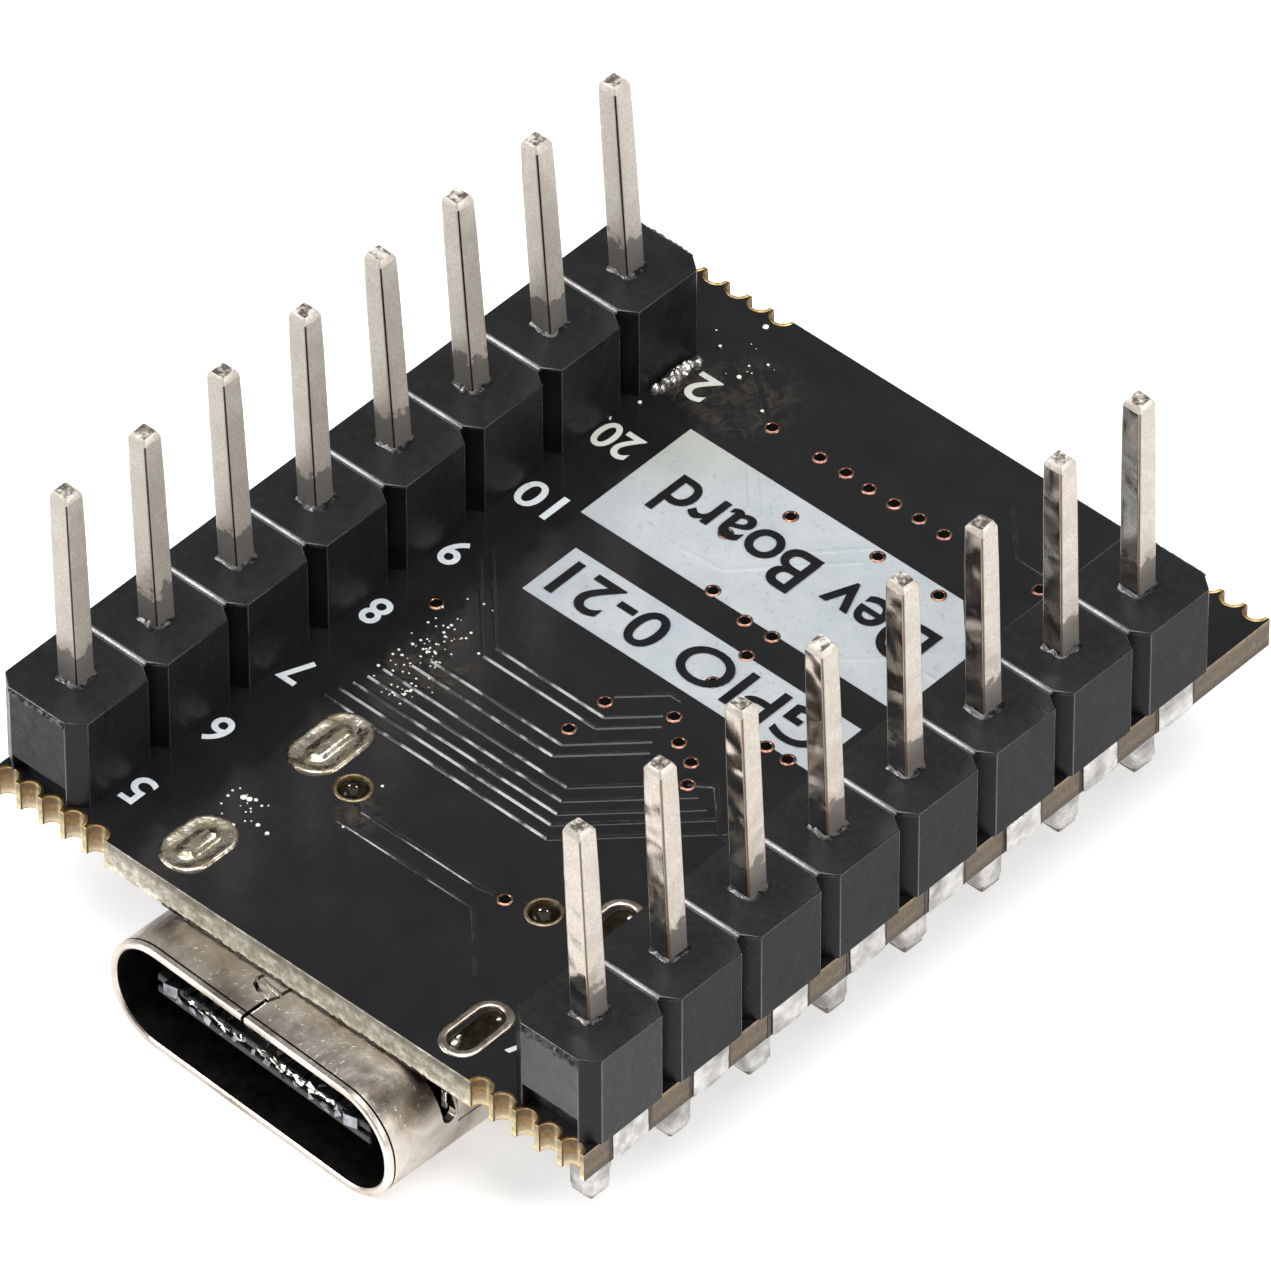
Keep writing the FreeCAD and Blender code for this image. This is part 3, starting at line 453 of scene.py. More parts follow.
def pin_material(name, end_rough, end_metal, end_shade, ripple, edge):
    """Tin-plated brass: satin sides, a sheared tip, end faces darkened by end_shade as painted shade, and a
    darker foot that is a painted reflection of the strip. The rounded upright edges take the edge colour: a
    painted reflection of the dark board on the left row, rubbed-through brass on the right.
    """
    f = Finish(name)
    streak = f.noise(1.0, 5, 0.6, where=f.stretched(11, 11, 0.5))
    grain = f.noise(14, 4, 0.7)
    blotch = f.noise(1.6, 4)
    warm = f.mottle(grain, (0.40, 0.36, 0.315), (0.50, 0.46, 0.415), (0.61, 0.575, 0.53))
    stain = f.ramp(blotch, (0.42, 1.0), (0.62, 0.0))
    tint = f.blend(f.times(stain, 0.25), warm, (0.34, 0.28, 0.22))
    across, along, up = (f.size(f.normal, name) for name in "XYZ")
    end_on = f.step(along, 0.93, 0.99)
    # Faces square to Y are darkened by end_shade: painted shade.
    tint = f.blend(f.times(end_on, end_shade), tint, (0.02, 0.02, 0.02))
    # A darker band up to the foot height: a painted reflection of the dark strip.
    height = f.plus(f.axis(f.place, "Z"), f.swing(f.noise(3.2, 4), 1.5))
    foot = f.fall(height, FOOT_HEIGHT - 0.1, FOOT_HEIGHT + 0.05)
    tint = f.blend(f.times(foot, 0.75), tint, (0.10, 0.09, 0.085))
    # The tip's top: sheared metal with painted shade in its crevices and painted glints.
    burr_stops = ((0.42, (0.03, 0.024, 0.018)), (0.5, (0.3, 0.26, 0.22)), (0.6, (0.85, 0.82, 0.78)))
    burr = f.ramp(f.noise(5.0, 4, 0.7), *burr_stops)
    tint = f.blend(f.times(f.step(up, 0.8, 0.95), 0.85), tint, burr)
    # Rounded upright edges take the edge colour: a painted reflection of the board on the left row, rubbed
    # brass on the right.
    upright = f.fall(up, 0.1, 0.25)
    corner = f.times(f.step(across, 0.4, 0.55), f.step(along, 0.4, 0.55))
    f.set(Base_Color=f.blend(f.times(corner, upright), tint, edge))
    f.set(Metallic=f.blend(end_on, (0.35, 0.35, 0.35), (end_metal, end_metal, end_metal)))
    rough = f.blend(end_on, (0.4, 0.4, 0.4), (end_rough, end_rough, end_rough))
    f.set(Roughness=f.plus(rough, f.swing(streak, 0.2)))
    f.bump(streak, 0.004)
    f.bump(f.noise(0.9, 1, 0.5, distort=0.3), ripple)
    f.bump(grain, 0.003)
    return f.material


def solder_material():
    """Cooled tin solder: silver with wrinkles, darker hollows and a few flux stains."""
    f = Finish("solder_tin")
    cloud = f.noise(1.7, 4, 0.55)
    tint = f.ramp(cloud, (0.28, (0.22, 0.21, 0.195)), (0.5, (0.46, 0.45, 0.435)), (0.7, (0.74, 0.73, 0.72)))
    stain = f.ramp(f.noise(1.7, 4), (0.6, 0.0), (0.72, 1.0))
    f.set(Base_Color=f.blend(f.times(stain, 0.6), tint, (0.22, 0.15, 0.09)))
    f.set(Metallic=1.0, Roughness=f.mottle(f.noise(5, 5), 0.18, 0.42))
    f.bump(f.noise(3.0, 4, 0.6), 0.05)
    f.bump(f.noise(14, 3), 0.012)
    return f.material


def tab_material():
    """Solder spread over a tab: beige, smooth, with olive flux in the hollows."""
    f = Finish("tab_solder_tin")
    cloud = f.noise(2.2, 4, 0.6, distort=0.5)
    tint_stops = ((0.3, (0.20, 0.165, 0.10)), (0.48, (0.48, 0.42, 0.32)), (0.7, (0.80, 0.77, 0.70)))
    f.set(Base_Color=f.ramp(cloud, *tint_stops))
    f.set(Metallic=f.ramp(cloud, (0.3, 0.4), (0.5, 1.0)))
    f.set(Roughness=f.mottle(f.noise(3), 0.16, 0.36))
    f.bump(f.noise(2.4, 3), 0.04)
    return f.material


# Burnt marks on the shell: centre, radius of the full mark, radius where it has faded out, strength.
TARNISH = [
    ((3.6, -11.25, -3.55), 0.1, 0.62, 0.85),
    ((4.1, -10.6, -3.8), 0.1, 0.85, 0.7),
    ((3.9, -9.9, -3.7), 0.2, 0.7, 0.9),
    ((-3.6, -10.5, -3.55), 0.1, 0.75, 0.8),
    ((-3.2, -10.7, -3.4), 0.1, 0.6, 0.6),
    ((-4.0, -10.2, -3.7), 0.3, 0.9, 0.9),
]


def shell_material():
    """Deep-drawn steel with warm blotches, rubbed patches and faint draw lines."""
    f = Finish("shell_steel")
    cloud = f.noise(0.55, 6, 0.62, distort=0.8)
    patch = f.ramp(f.noise(0.42, 3, where=f.stretched(1, 1.6, 1)), (0.54, 0.0), (0.68, 1.0))
    grime = f.ramp(f.noise(1.9, 5, 0.7), (0.55, 0.0), (0.72, 1.0))
    base = f.ramp(
        cloud,
        (0.25, (0.36, 0.295, 0.23)),
        (0.45, (0.54, 0.475, 0.41)),
        (0.62, (0.66, 0.61, 0.56)),
        (0.8, (0.78, 0.745, 0.70)),
    )
    base = f.blend(f.times(patch, 0.55), base, (0.19, 0.14, 0.10))
    blur = f.swing(f.noise(1.6, 3), 0.9)
    for centre, near, far, strength in TARNISH:
        spot = f.plus(f.distance(centre), blur)
        mark = f.fall(spot, near, far)
        base = f.blend(f.times(mark, strength), base, (0.06, 0.038, 0.024))
    f.set(Base_Color=f.blend(f.times(grime, 0.4), base, (0.22, 0.17, 0.11)), Metallic=1.0)
    drawn = f.noise(1.0, 4, 0.6, where=f.stretched(9, 0.5, 9))
    rough = f.mottle(cloud, 0.24, 0.4)
    f.set(Roughness=f.plus(rough, f.swing(drawn, 0.22)))
    f.bump(drawn, 0.004)
    f.bump(f.noise(1.7, 4), 0.02)
    f.bump(f.ramp(f.noise(8, 3), (0.62, 0.0), (0.72, 1.0)), 0.006)
    return f.material


def metal_material(name, dark, light, rough, scale=4.0, depth=0.006):
    """Plated metal with a cloudy finish."""
    f = Finish(name)
    cloud = f.noise(scale, 5, 0.6)
    f.set(Base_Color=f.mottle(cloud, dark, light), Metallic=1.0)
    f.set(Roughness=f.mottle(f.noise(scale * 1.7, 4), rough - 0.06, rough + 0.12))
    f.bump(f.noise(scale * 2.5, 4), depth)
    return f.material


def print_material(name, gain):
    """White printing ink, slightly blue, with worn and stained patches; gain scales its brightness."""
    f = Finish(name)
    cloud = f.noise(0.7, 5, 0.6)
    fleck = f.ramp(f.noise(7, 5, 0.7), (0.3, 0.0), (0.42, 1.0))
    ink = f.mottle(cloud, (0.44, 0.49, 0.53), (0.56, 0.60, 0.62))
    corner = f.step(f.minus(f.axis(f.place, "Y"), f.times(f.axis(f.place, "X"), 1.1)), 9.4, 13.6)
    ink = f.blend(f.times(corner, 0.5), ink, (0.42, 0.43, 0.30))
    ink = f.blend(1.0, f.blend(fleck, (0.36, 0.39, 0.42), ink), (gain, gain, gain), "MULTIPLY")
    f.set(Base_Color=ink, Roughness=f.mottle(f.noise(6), 0.3, 0.5))
    f.bump(f.noise(12, 4), 0.008)
    return f.material


def ceramic_material(name, dark, light, rough=0.4):
    """Fired ceramic with fine specks."""
    f = Finish(name)
    speck = f.noise(16, 4, 0.7)
    cloud = f.noise(1.4, 3)
    tone = f.mottle(cloud, dark, light)
    darker = tuple(c * 0.6 for c in dark)
    f.set(Base_Color=f.blend(f.ramp(speck, (0.6, 0.0), (0.75, 0.6)), tone, darker))
    f.set(Roughness=f.mottle(f.noise(5), rough - 0.08, rough + 0.12))
    f.bump(speck, 0.006)
    return f.material


def mould_material():
    """Chip moulding compound: dark grey, sandblasted, with a light sparkle."""
    f = Finish("chip_mould")
    grain = f.noise(26, 4, 0.75)
    f.set(Base_Color=f.ramp(grain, (0.3, (0.012, 0.012, 0.013)), (0.72, (0.045, 0.045, 0.047))))
    f.set(Roughness=f.mottle(f.noise(3), 0.48, 0.66))
    f.bump(grain, 0.012)
    return f.material


def lens_material():
    """Milky lens of a small light."""
    f = Finish("led_lens")
    cloud = f.noise(3, 3)
    f.set(Base_Color=f.mottle(cloud, (0.72, 0.70, 0.52), (0.85, 0.84, 0.72)))
    f.set(Roughness=f.mottle(f.noise(8), 0.18, 0.34), Transmission_Weight=0.25)
    f.bump(f.noise(6), 0.01)
    return f.material


def droplet_material(name, dark, light, shine, glint_whitening=0.0):
    """Dried flux: dark, faintly amber and very glossy; the last argument whitens the top of each drop as a
    painted highlight.
    """
    f = Finish(name)
    tint = f.ramp(f.noise(4), (0.35, dark), (0.65, light))
    # Tops of the drops whitened: a painted highlight.
    top = f.step(f.axis(f.normal, "Z"), 0.72, 0.9)
    f.set(Base_Color=f.blend(f.times(top, glint_whitening), tint, (0.86, 0.85, 0.82)))
    f.set(Roughness=f.mottle(f.noise(9), 0.05, 0.14), Specular_IOR_Level=shine)
    f.bump(f.noise(7), 0.004)
    return f.material


def dark_material():
    """The unlit inside of a hole."""
    f = Finish("hole_inside")
    f.set(Base_Color=f.mottle(f.noise(6), (0.001, 0.0008, 0.0006), (0.004, 0.003, 0.002)))
    f.set(Roughness=f.mottle(f.noise(9), 0.5, 0.8), Specular_IOR_Level=0.05)
    return f.material


BOARD = board_material()
RAISED = mask_material("board_mask_raised", 0.5)
LETTER = mask_material("board_mask_letters", 0.12)
HEADER = plastic_material("header_nylon", (0.008, 0.008, 0.0088), (0.0135, 0.0135, 0.0145), 0.3, 0.007, 0.44)
# Lighter, glossier plastic for rounded header edges and pin burrs: a painted glint.
GLINT_PLASTIC = plastic_material("header_painted_glint_plastic", (0.02, 0.02, 0.022), (0.09, 0.09, 0.093), 0.18, 0.01, 0.9)
# Pale plastic for the groove faces between segments: a painted glint.
GROOVE_GLINT = plastic_material("header_groove_painted_glint", (0.12, 0.12, 0.125), (0.42, 0.42, 0.43), 0.2, 0.01, 0.9)
TORN = {
    side: plastic_material(f"torn_nylon_{side}", dark, light, rough, 0.012, sheen)
    for side, dark, light, rough, sheen in (
        ("left", (0.006, 0.006, 0.0066), (0.011, 0.011, 0.012), 0.4, 0.2),
        ("right", (0.018, 0.018, 0.0196), (0.026, 0.026, 0.028), 0.38, 0.5),
    )
}
CONNECTOR = plastic_material("connector_nylon", (0.006, 0.006, 0.0065), (0.011, 0.011, 0.012), 0.36, 0.005)
BUTTON = plastic_material("button_nylon", (0.02, 0.02, 0.022), (0.035, 0.035, 0.037), 0.4, 0.006)
# The left row's end faces carry painted shade and its edges a painted dark reflection; the right row's edges
# are rubbed brass.
PIN = {
    "left": pin_material("pin_tin_left", 0.36, 0.5, 0.12, 0.01, (0.008, 0.007, 0.006)),
    "right": pin_material("pin_tin_right", 0.12, 1.0, 0.0, 0.16, (0.17, 0.095, 0.05)),
}
SOLDER = solder_material()
TAB = tab_material()
SHELL = shell_material()
# Near-black steel for the inside of the shell and the crease behind its lip: painted shade.
INSIDE_SHADE = metal_material("shell_inside_painted_shade", (0.008, 0.008, 0.008), (0.025, 0.024, 0.022), 0.5, 3)
COPPER = metal_material("via_copper", (0.10, 0.035, 0.022), (0.62, 0.36, 0.27), 0.24, 9)
TINNED = metal_material("tinned_ring", (0.32, 0.24, 0.18), (0.74, 0.68, 0.60), 0.24, 3, 0.004)
OLIVE = metal_material("bare_ring", (0.12, 0.09, 0.05), (0.38, 0.31, 0.2), 0.34, 5, 0.004)
RIM = metal_material("bare_rim", (0.18, 0.09, 0.025), (0.70, 0.50, 0.22), 0.35, 6)
CONTACT = metal_material("contact_plating", (0.70, 0.66, 0.58), (0.93, 0.91, 0.88), 0.2, 6)
LATCH = metal_material("latch_plating", (0.06, 0.065, 0.075), (0.42, 0.44, 0.47), 0.24, 3)
CAN = metal_material("steel_can", (0.55, 0.54, 0.52), (0.75, 0.74, 0.72), 0.26, 3)
PRINT = print_material("printed_ink", 0.9)
LABEL = print_material("printed_label_ink", 1.35)
MOULD = mould_material()
ANTENNA = ceramic_material("antenna_ceramic", (0.50, 0.56, 0.58), (0.66, 0.70, 0.70), 0.35)
CRYSTAL = ceramic_material("crystal_ceramic", (0.10, 0.09, 0.085), (0.16, 0.15, 0.14), 0.5)
CAPACITOR = ceramic_material("capacitor_ceramic", (0.26, 0.17, 0.10), (0.38, 0.26, 0.17), 0.38)
RESISTOR = ceramic_material("resistor_glaze", (0.012, 0.012, 0.016), (0.025, 0.025, 0.03), 0.3)
LENS = lens_material()
FLUX = droplet_material("dried_flux", (0.006, 0.005, 0.003), (0.02, 0.016, 0.008), 0.12)
# Drops with a painted highlight on their tops.
DROPLET = droplet_material("flux_droplet", (0.008, 0.007, 0.005), (0.02, 0.018, 0.014), 1.0, 1.0)
RESIN = droplet_material("flux_film", (0.012, 0.006, 0.003), (0.035, 0.018, 0.01), 0.25)
HOLE = dark_material()


# ------------------------------------------------------- pieces kept from the CAD


BUTTONS = ("boot_button", "reset_button")
# Each CAD node that stays in sight: its finish, the width of its rounded edges, and their segments.
FINISHES = {
    "circuit_board": (BOARD, 0.0, 2),
    "usb_housing": (CONNECTOR, 0.0, 2),
    "usb_tongue": (CONNECTOR, 0.05, 2),
    "usb_mid_plate": (CAN, 0.02, 2),
    "usb_contacts_upper": (CONTACT, 0.015, 2),
    "usb_contacts_lower": (CONTACT, 0.015, 2),
    "usb_leads": (SOLDER, 0.03, 2),
    "usb_tab_solder": (SOLDER, 0.0, 2),
    "mcu_chip": (MOULD, 0.03, 2),
    "mcu_pads": (SOLDER, 0.012, 2),
    "crystal_base": (CRYSTAL, 0.03, 2),
    "crystal_can": (CAN, 0.05, 3),
    "ceramic_antenna": (ANTENNA, 0.04, 2),
    "antenna_ends": (SOLDER, 0.04, 2),
    "voltage_regulator": (MOULD, 0.06, 2),
    "regulator_leads": (SOLDER, 0.04, 2),
    "capacitors": (CAPACITOR, 0.03, 2),
    "capacitor_ends": (SOLDER, 0.05, 3),
    "resistors": (RESISTOR, 0.02, 2),
    "resistor_ends": (SOLDER, 0.04, 3),
    "power_led": (LENS, 0.05, 2),
    "user_led": (LENS, 0.05, 2),
    "led_ends": (SOLDER, 0.05, 2),
}
for button in BUTTONS:
    FINISHES[f"{button}_base"] = (BUTTON, 0.05, 2)
    FINISHES[f"{button}_cover"] = (CAN, 0.03, 2)
    FINISHES[f"{button}_plunger"] = (BUTTON, 0.02, 2)
    FINISHES[f"{button}_terminals"] = (SOLDER, 0.03, 2)


def dress_cad_nodes():
    """Gives the CAD nodes their finishes and, where a width is set, rounded edges."""
    for node, (material, width, segments) in FINISHES.items():
        piece = NODES[node]
        piece.data.materials.clear()
        piece.data.materials.append(material)
        if width:
            weld = piece.modifiers.new("weld", "WELD")
            weld.merge_threshold = 0.0005 * MM
            bevel(piece, width, segments, angle=40)


# The dome's thickness and its gap to the plunger.
DOME_METAL = 0.05
DOME_GAP = 0.01


def snap_dome(button):
    """A button's spring dome, standing from the floor of its well towards its plunger."""
    low, high = span(f"{button}_dome")
    middle = (low + high) / 2
    radius = (high.x - low.x) / 2
    rise = high.z - low.z - DOME_GAP - DOME_METAL
    profile = []
    for step in range(10):
        out = 0.04 + 0.96 * step / 9
        profile.append((out * radius, DOME_METAL + rise * (1 - out ** 2)))
    profile += [(out, up - DOME_METAL) for out, up in reversed(profile)]
    shape = bmesh.new()
    loft(shape, [
        [(x, y, high.z - up) for x, y in circle_points((middle.x, middle.y), out, 36)] for out, up in profile
    ])
    piece = new_piece(f"{button}_snap_dome", shape, [CONTACT], replaces=(f"{button}_dome",))
    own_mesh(piece)


# ------------------------------------------------------------------ board details

TRACK_WIDTH = 0.15
TRACK_HEIGHT = 0.03
# Y of each track of the bundle, where it starts, where it turns, how far it then climbs at 45 degrees,
# and how much of its height is left after the turn.
BUNDLE = [
    (-0.16, -3.21, 0.04, 0.9, 0.9),
    (-0.53, -3.24, 0.14, 1.0, 0.9),
    (-1.42, -4.0, -0.08, 1.4, 0.9),
    (-1.81, -4.2, 0.01, 1.5, 0.8),
    (-2.32, -4.6, 0.91, 1.9, 0.35),
    (-2.71, -4.7, 1.12, 2.1, 0.4),
    (-3.07, -4.8, 1.32, 2.3, 0.35),
    (-3.41, -4.9, 1.45, 2.6, 0.3),
    (-3.79, -5.0, 1.68, 2.9, 0.3),
]
# Each lone track's height as a share of a bundled one's, and its route.
LONE_TRACKS = [
    (0.6, [(-0.27, 0.46), (0.62, 1.35), (0.95, 1.35)]),
    (0.3, [(-1.9, -5.9), (-0.3, -5.9), (1.6, -5.9), (2.0, -5.81)]),
    (0.36, [(-2.1, -6.45), (1.9, -6.45), (3.4, -7.95)]),
    (0.6, [(5.6, -1.2), (4.4, -1.2), (3.3, -0.1), (2.81, -0.5)]),
    (0.4, [(-5.4, 10.6), (-3.46, 9.16)]),
    (0.6, [(2.2, 10.9), (3.4, 9.7), (5.6, 9.7)]),
]
VIAS = [
    (2.27, -5.81), (-0.3, -0.97), (-0.29, 0.19), (1.15, 0.87), (1.78, 0.34), (2.4, 0.06), (2.81, -0.5),
    (-5.16, -0.05), (-3.46, 9.16), (-2.02, 9.16), (-1.26, 9.19), (-0.54, 9.15), (0.2, 9.17), (0.93, 9.19),
    (1.68, 9.18), (-1.22, 7.31), (1.07, 7.66), (2.9, 7.65), (-1.92, 5.93), (-0.9, 4.39), (0.26, 4.16),
    (1.05, 4.19), (1.04, 3.37), (1.06, 2.24), (3.28, 1.54), (3.91, 1.56), (4.43, 9.3),
]
UNDER_VIAS = [
    (-3.4, 8.6), (3.6, 8.4), (-3.2, 1.4), (3.3, 0.9), (0.0, 8.9), (5.6, 3.4), (-1.2, -3.4), (1.3, -3.4),
]
# Middle, extent, number and size of the small drops of flux in each cluster.
DROP_CLUSTERS = [
    ((-4.3, -1.2), (0.6, 1.1), 80, 0.055),
    ((-3.9, -2.7), (0.5, 0.5), 24, 0.055),
    ((-3.9, -7.6), (0.5, 0.5), 16, 0.05),
    ((-5.5, 10.2), (0.7, 0.7), 9, 0.04),
    ((-6.35, 6.9), (0.12, 0.3), 8, 0.08),
    ((5.2, -6.6), (0.5, 1.2), 10, 0.045),
]
# Places and radii of the larger drops of flux.
BIG_DROPS = [
    (-4.1, -7.36, 0.1), (-3.96, -7.32, 0.09), (-3.84, -7.24, 0.07), (-3.66, -8.16, 0.08),
    (-3.28, -7.77, 0.07), (-2.94, -7.84, 0.08),
    (-7.0, -6.06, 0.06), (-5.1, 9.86, 0.09), (-6.1, 10.32, 0.07), (-6.2, 7.76, 0.07), (-5.78, 11.5, 0.09),
    (-4.89, 10.6, 0.06), (-3.97, 9.39, 0.07), (-1.86, -6.56, 0.05), (-2.1, -5.05, 0.05),
]
VIA_RADIUS = 0.125
# The four tab slots: rings round the two right ones, and heaps of solder over the two left ones.
SLOT_WIDTH = 0.7
SLOT_SIDE = 4.27
SLOT_ROWS = (-9.05, -4.85)
RING_X = SLOT_MIDDLE.x + SLOT_SIDE - 0.07
HEAP_X = SLOT_MIDDLE.x - SLOT_SIDE + 0.11
HEAP_LENGTHS = (1.32, 1.54)
# The two peg holes, either side of the receptacle's middle.
PEG_SIDES = (-2.85, 2.85)
PEG_ROW = -5.5
PEG_RING_RADIUS = 0.365
# Bright beads standing in for glints, painted highlights, in each slot's flux (place, radius, height, squash,
# lump, segments) and on each peg's.
SLOT_GLINTS = [
    (-0.08, -0.64, 0.12, 0.07, 1.1, 0.05, 14),
    (-0.14, -0.46, 0.07, 0.06, 1.3, 0.05, 12),
    (0.12, 0.52, 0.07, 0.05, 1.0, 0.04, 12),
]
PEG_GLINTS = [(-0.06, -0.06, 0.04, 0.03), (0.08, 0.02, 0.028, 0.02)]
# The half holes at each end of both short edges: distance of the outermost from the corner, and pitch.
SNAP_INSET = 0.38
SNAP_PITCH = 0.67
SNAP_RADIUS = 0.27
SNAP_COUNT = 5


def raised_tracks():
    """Copper tracks that show as low ridges under the solder mask."""
    shape = bmesh.new()
    for y, start, turn, climb, left in BUNDLE:
        ridge(shape, [(start, y), (turn, y)], TRACK_WIDTH, TRACK_HEIGHT, FACE)
        slant = [(turn - 0.02, y - 0.02), (turn + climb, y + climb)]
        ridge(shape, slant, TRACK_WIDTH, TRACK_HEIGHT * left, FACE)
        if y > -1.0:
            ridge(shape, [(start - 2.2, y + 2.2), (start, y)], TRACK_WIDTH, TRACK_HEIGHT * 0.35, FACE)
    for share, points in LONE_TRACKS:
        ridge(shape, points, TRACK_WIDTH, TRACK_HEIGHT * share, FACE)
    new_piece("raised_tracks", shape, [RAISED], crease=80)


def vias(name, places, face, up):
    """Plated through holes: a broad copper ring round a dark hole."""
    rings = bmesh.new()
    holes = bmesh.new()
    profile = [(0.0, -0.01), (0.006, 0.02), (0.018, 0.03), (0.04, 0.018), (0.06, 0.02), (0.068, 0.01)]
    profile = [(out, face + lift * up) for out, lift in profile + [(0.071, -0.01)]]
    low, high = sorted((face - 0.01 * up, face + 0.0125 * up))
    for place in places:
        sweep_ring(rings, ring_path(place, VIA_RADIUS, 24), profile)
        prism(holes, circle_points(place, VIA_RADIUS + 0.002, 20), low, high)
    new_piece(f"{name}_rings", rings, [COPPER], crease=60)
    new_piece(f"{name}_holes", holes, [HOLE])


def snap_hole_rims():
    """Bare glass-epoxy rims round the half holes where the board was snapped from its panel."""
    shape = bmesh.new()
    profile = ((SNAP_RADIUS, -0.02), (SNAP_RADIUS, 0.006), (0.33, 0.008), (0.345, -0.01))
    ends = ((BOARD_LOW.y, 1), (BOARD_HIGH.y, -1))
    faces = ((FACE, 1), (UNDER, -1))
    for (edge, inward), side, hole, (face, up) in product(ends, (-1, 1), range(SNAP_COUNT), faces):
        centre = side * (BOARD_HIGH.x - SNAP_INSET - SNAP_PITCH * hole)
        rings = []
        for c, s in arc(12, sweep=math.pi):
            ring = []
            for radius, lift in profile:
                x = min(BOARD_HIGH.x, max(BOARD_LOW.x, centre + c * radius))
                ring.append((x, edge + s * inward * radius, face + lift * up))
            rings.append(ring)
        loft(shape, rings)
    new_piece("snap_hole_rims", shape, [RIM], crease=60)


def slot_rings():
    """Tinned rings round the two open slots, and bare rings round the two peg holes."""
    shape = bmesh.new()
    profile = [(-0.005, -0.05), (0.0, 0.01), (0.03, 0.03), (0.09, 0.038), (0.15, 0.03), (0.2, 0.01)]
    profile = [(out, FACE + lift) for out, lift in profile + [(0.21, -0.01)]]
    for y in SLOT_ROWS:
        sweep_ring(shape, stadium_points((RING_X, y - 0.06), SLOT_WIDTH, 1.56), profile, wobble=0.02)
    new_piece("slot_rings", shape, [TINNED], crease=60)
    pegs = bmesh.new()
    thin = [(0.0, -0.03), (0.004, 0.012), (0.03, 0.022), (0.085, 0.014), (0.1, -0.01)]
    for side in PEG_SIDES:
        path = ring_path((SLOT_MIDDLE.x + side, PEG_ROW), PEG_RING_RADIUS, 40)
        sweep_ring(pegs, path, [(out, FACE + lift) for out, lift in thin])
    new_piece("peg_rings", pegs, [OLIVE], crease=60)


def slot_fillings():
    """Solder spread over the two left slots; flux pooled in the two right ones and over the pegs."""
    heaps = bmesh.new()
    levels = [(0.33, -0.01), (0.315, 0.035), (0.26, 0.065), (0.2, 0.055), (0.08, 0.02), (-0.04, 0.01)]
    levels += [(-0.1, 0.02), (-0.14, 0.06), (-0.2, 0.09), (-0.28, 0.095)]
    for y, long in zip(SLOT_ROWS, HEAP_LENGTHS):
        rings = []
        for outward, lift in levels:
            ring = []
            for (px, py), (ox, oy) in stadium_points((HEAP_X, y), SLOT_WIDTH, long, 56):
                out = outward + 0.05 * noise.noise(Vector((px * 1.7, py * 1.7, y + outward)))
                height = FACE + lift + 0.035 * noise.noise(Vector((px * 3.1, py * 3.1, y))) * (lift > 0)
                ring.append((px + ox * out, py + oy * out, height))
            rings.append(ring)
        loft(heaps, rings)
    new_piece("slot_solder", heaps, [TAB], crease=70)

    pools = bmesh.new()
    for y in SLOT_ROWS:
        rings = []
        for inset, lift in ((0.0, -0.08), (0.0, -0.004), (0.05, -0.03), (0.12, -0.05), (0.2, -0.055)):
            rings.append([
                (px - ox * inset, py - oy * inset, FACE + lift)
                for (px, py), (ox, oy) in stadium_points((RING_X, y - 0.06), 0.72, 1.6)
            ])
        loft(pools, rings)
    for side in PEG_SIDES:
        dome(pools, (SLOT_MIDDLE.x + side, PEG_ROW), 0.355, 0.3, FACE - 0.22, lump=0.03, segments=32)
    new_piece("slot_flux", pools, [FLUX], crease=70)

    # Bright beads over the flux: painted glints.
    glints = bmesh.new()
    for y in SLOT_ROWS:
        for x, along, radius, height, squash, lump, segments in SLOT_GLINTS:
            dome(glints, (RING_X + x, y + along), radius, height, FACE - 0.06, squash, lump, y, segments)
    for side in PEG_SIDES:
        for x, along, radius, height in PEG_GLINTS:
            centre = (SLOT_MIDDLE.x + side + x, PEG_ROW + along)
            dome(glints, centre, radius, height, FACE + 0.06, segments=10)
    new_piece("slot_glints", glints, [CONTACT], crease=70)


def flux_droplets():
    """Small dried drops of flux, scattered where the joints were soldered by hand."""
    rng = random.Random(5)
    shape = bmesh.new()
    for (x, y), (wide, long), count, size in DROP_CLUSTERS:
        for _ in range(count):
            radius = size * rng.uniform(0.35, 1.0)
            centre = (rng.gauss(x, wide * 0.6), rng.gauss(y, long * 0.6))
            dome(shape, centre, radius, radius * rng.uniform(0.5, 0.9), FACE - 0.004, segments=10)
    for x, y, radius in BIG_DROPS:
        dome(shape, (x, y), radius, radius * 0.7, FACE - 0.004, lump=0.04, turn=x, segments=16)
    new_piece("flux_droplets", shape, [DROPLET], crease=80)

    residue = bmesh.new()
    for _ in range(26):
        x = rng.uniform(-6.42, -6.05)
        y = rng.uniform(8.3, 9.7)
        radius = rng.uniform(0.06, 0.16)
        height = radius * rng.uniform(0.7, 1.6)
        centre = (max(x, -6.37 + radius), y)
        dome(residue, centre, radius, height, FACE - 0.01, 1.2, lump=0.1, turn=y, segments=12)
    new_piece("solder_residue", residue, [SOLDER], crease=50)


# Half the thickness of the printed ink.
LAYER = 0.005
DIGIT_WIDTH = 0.5
DIGIT_HEIGHT = 0.84


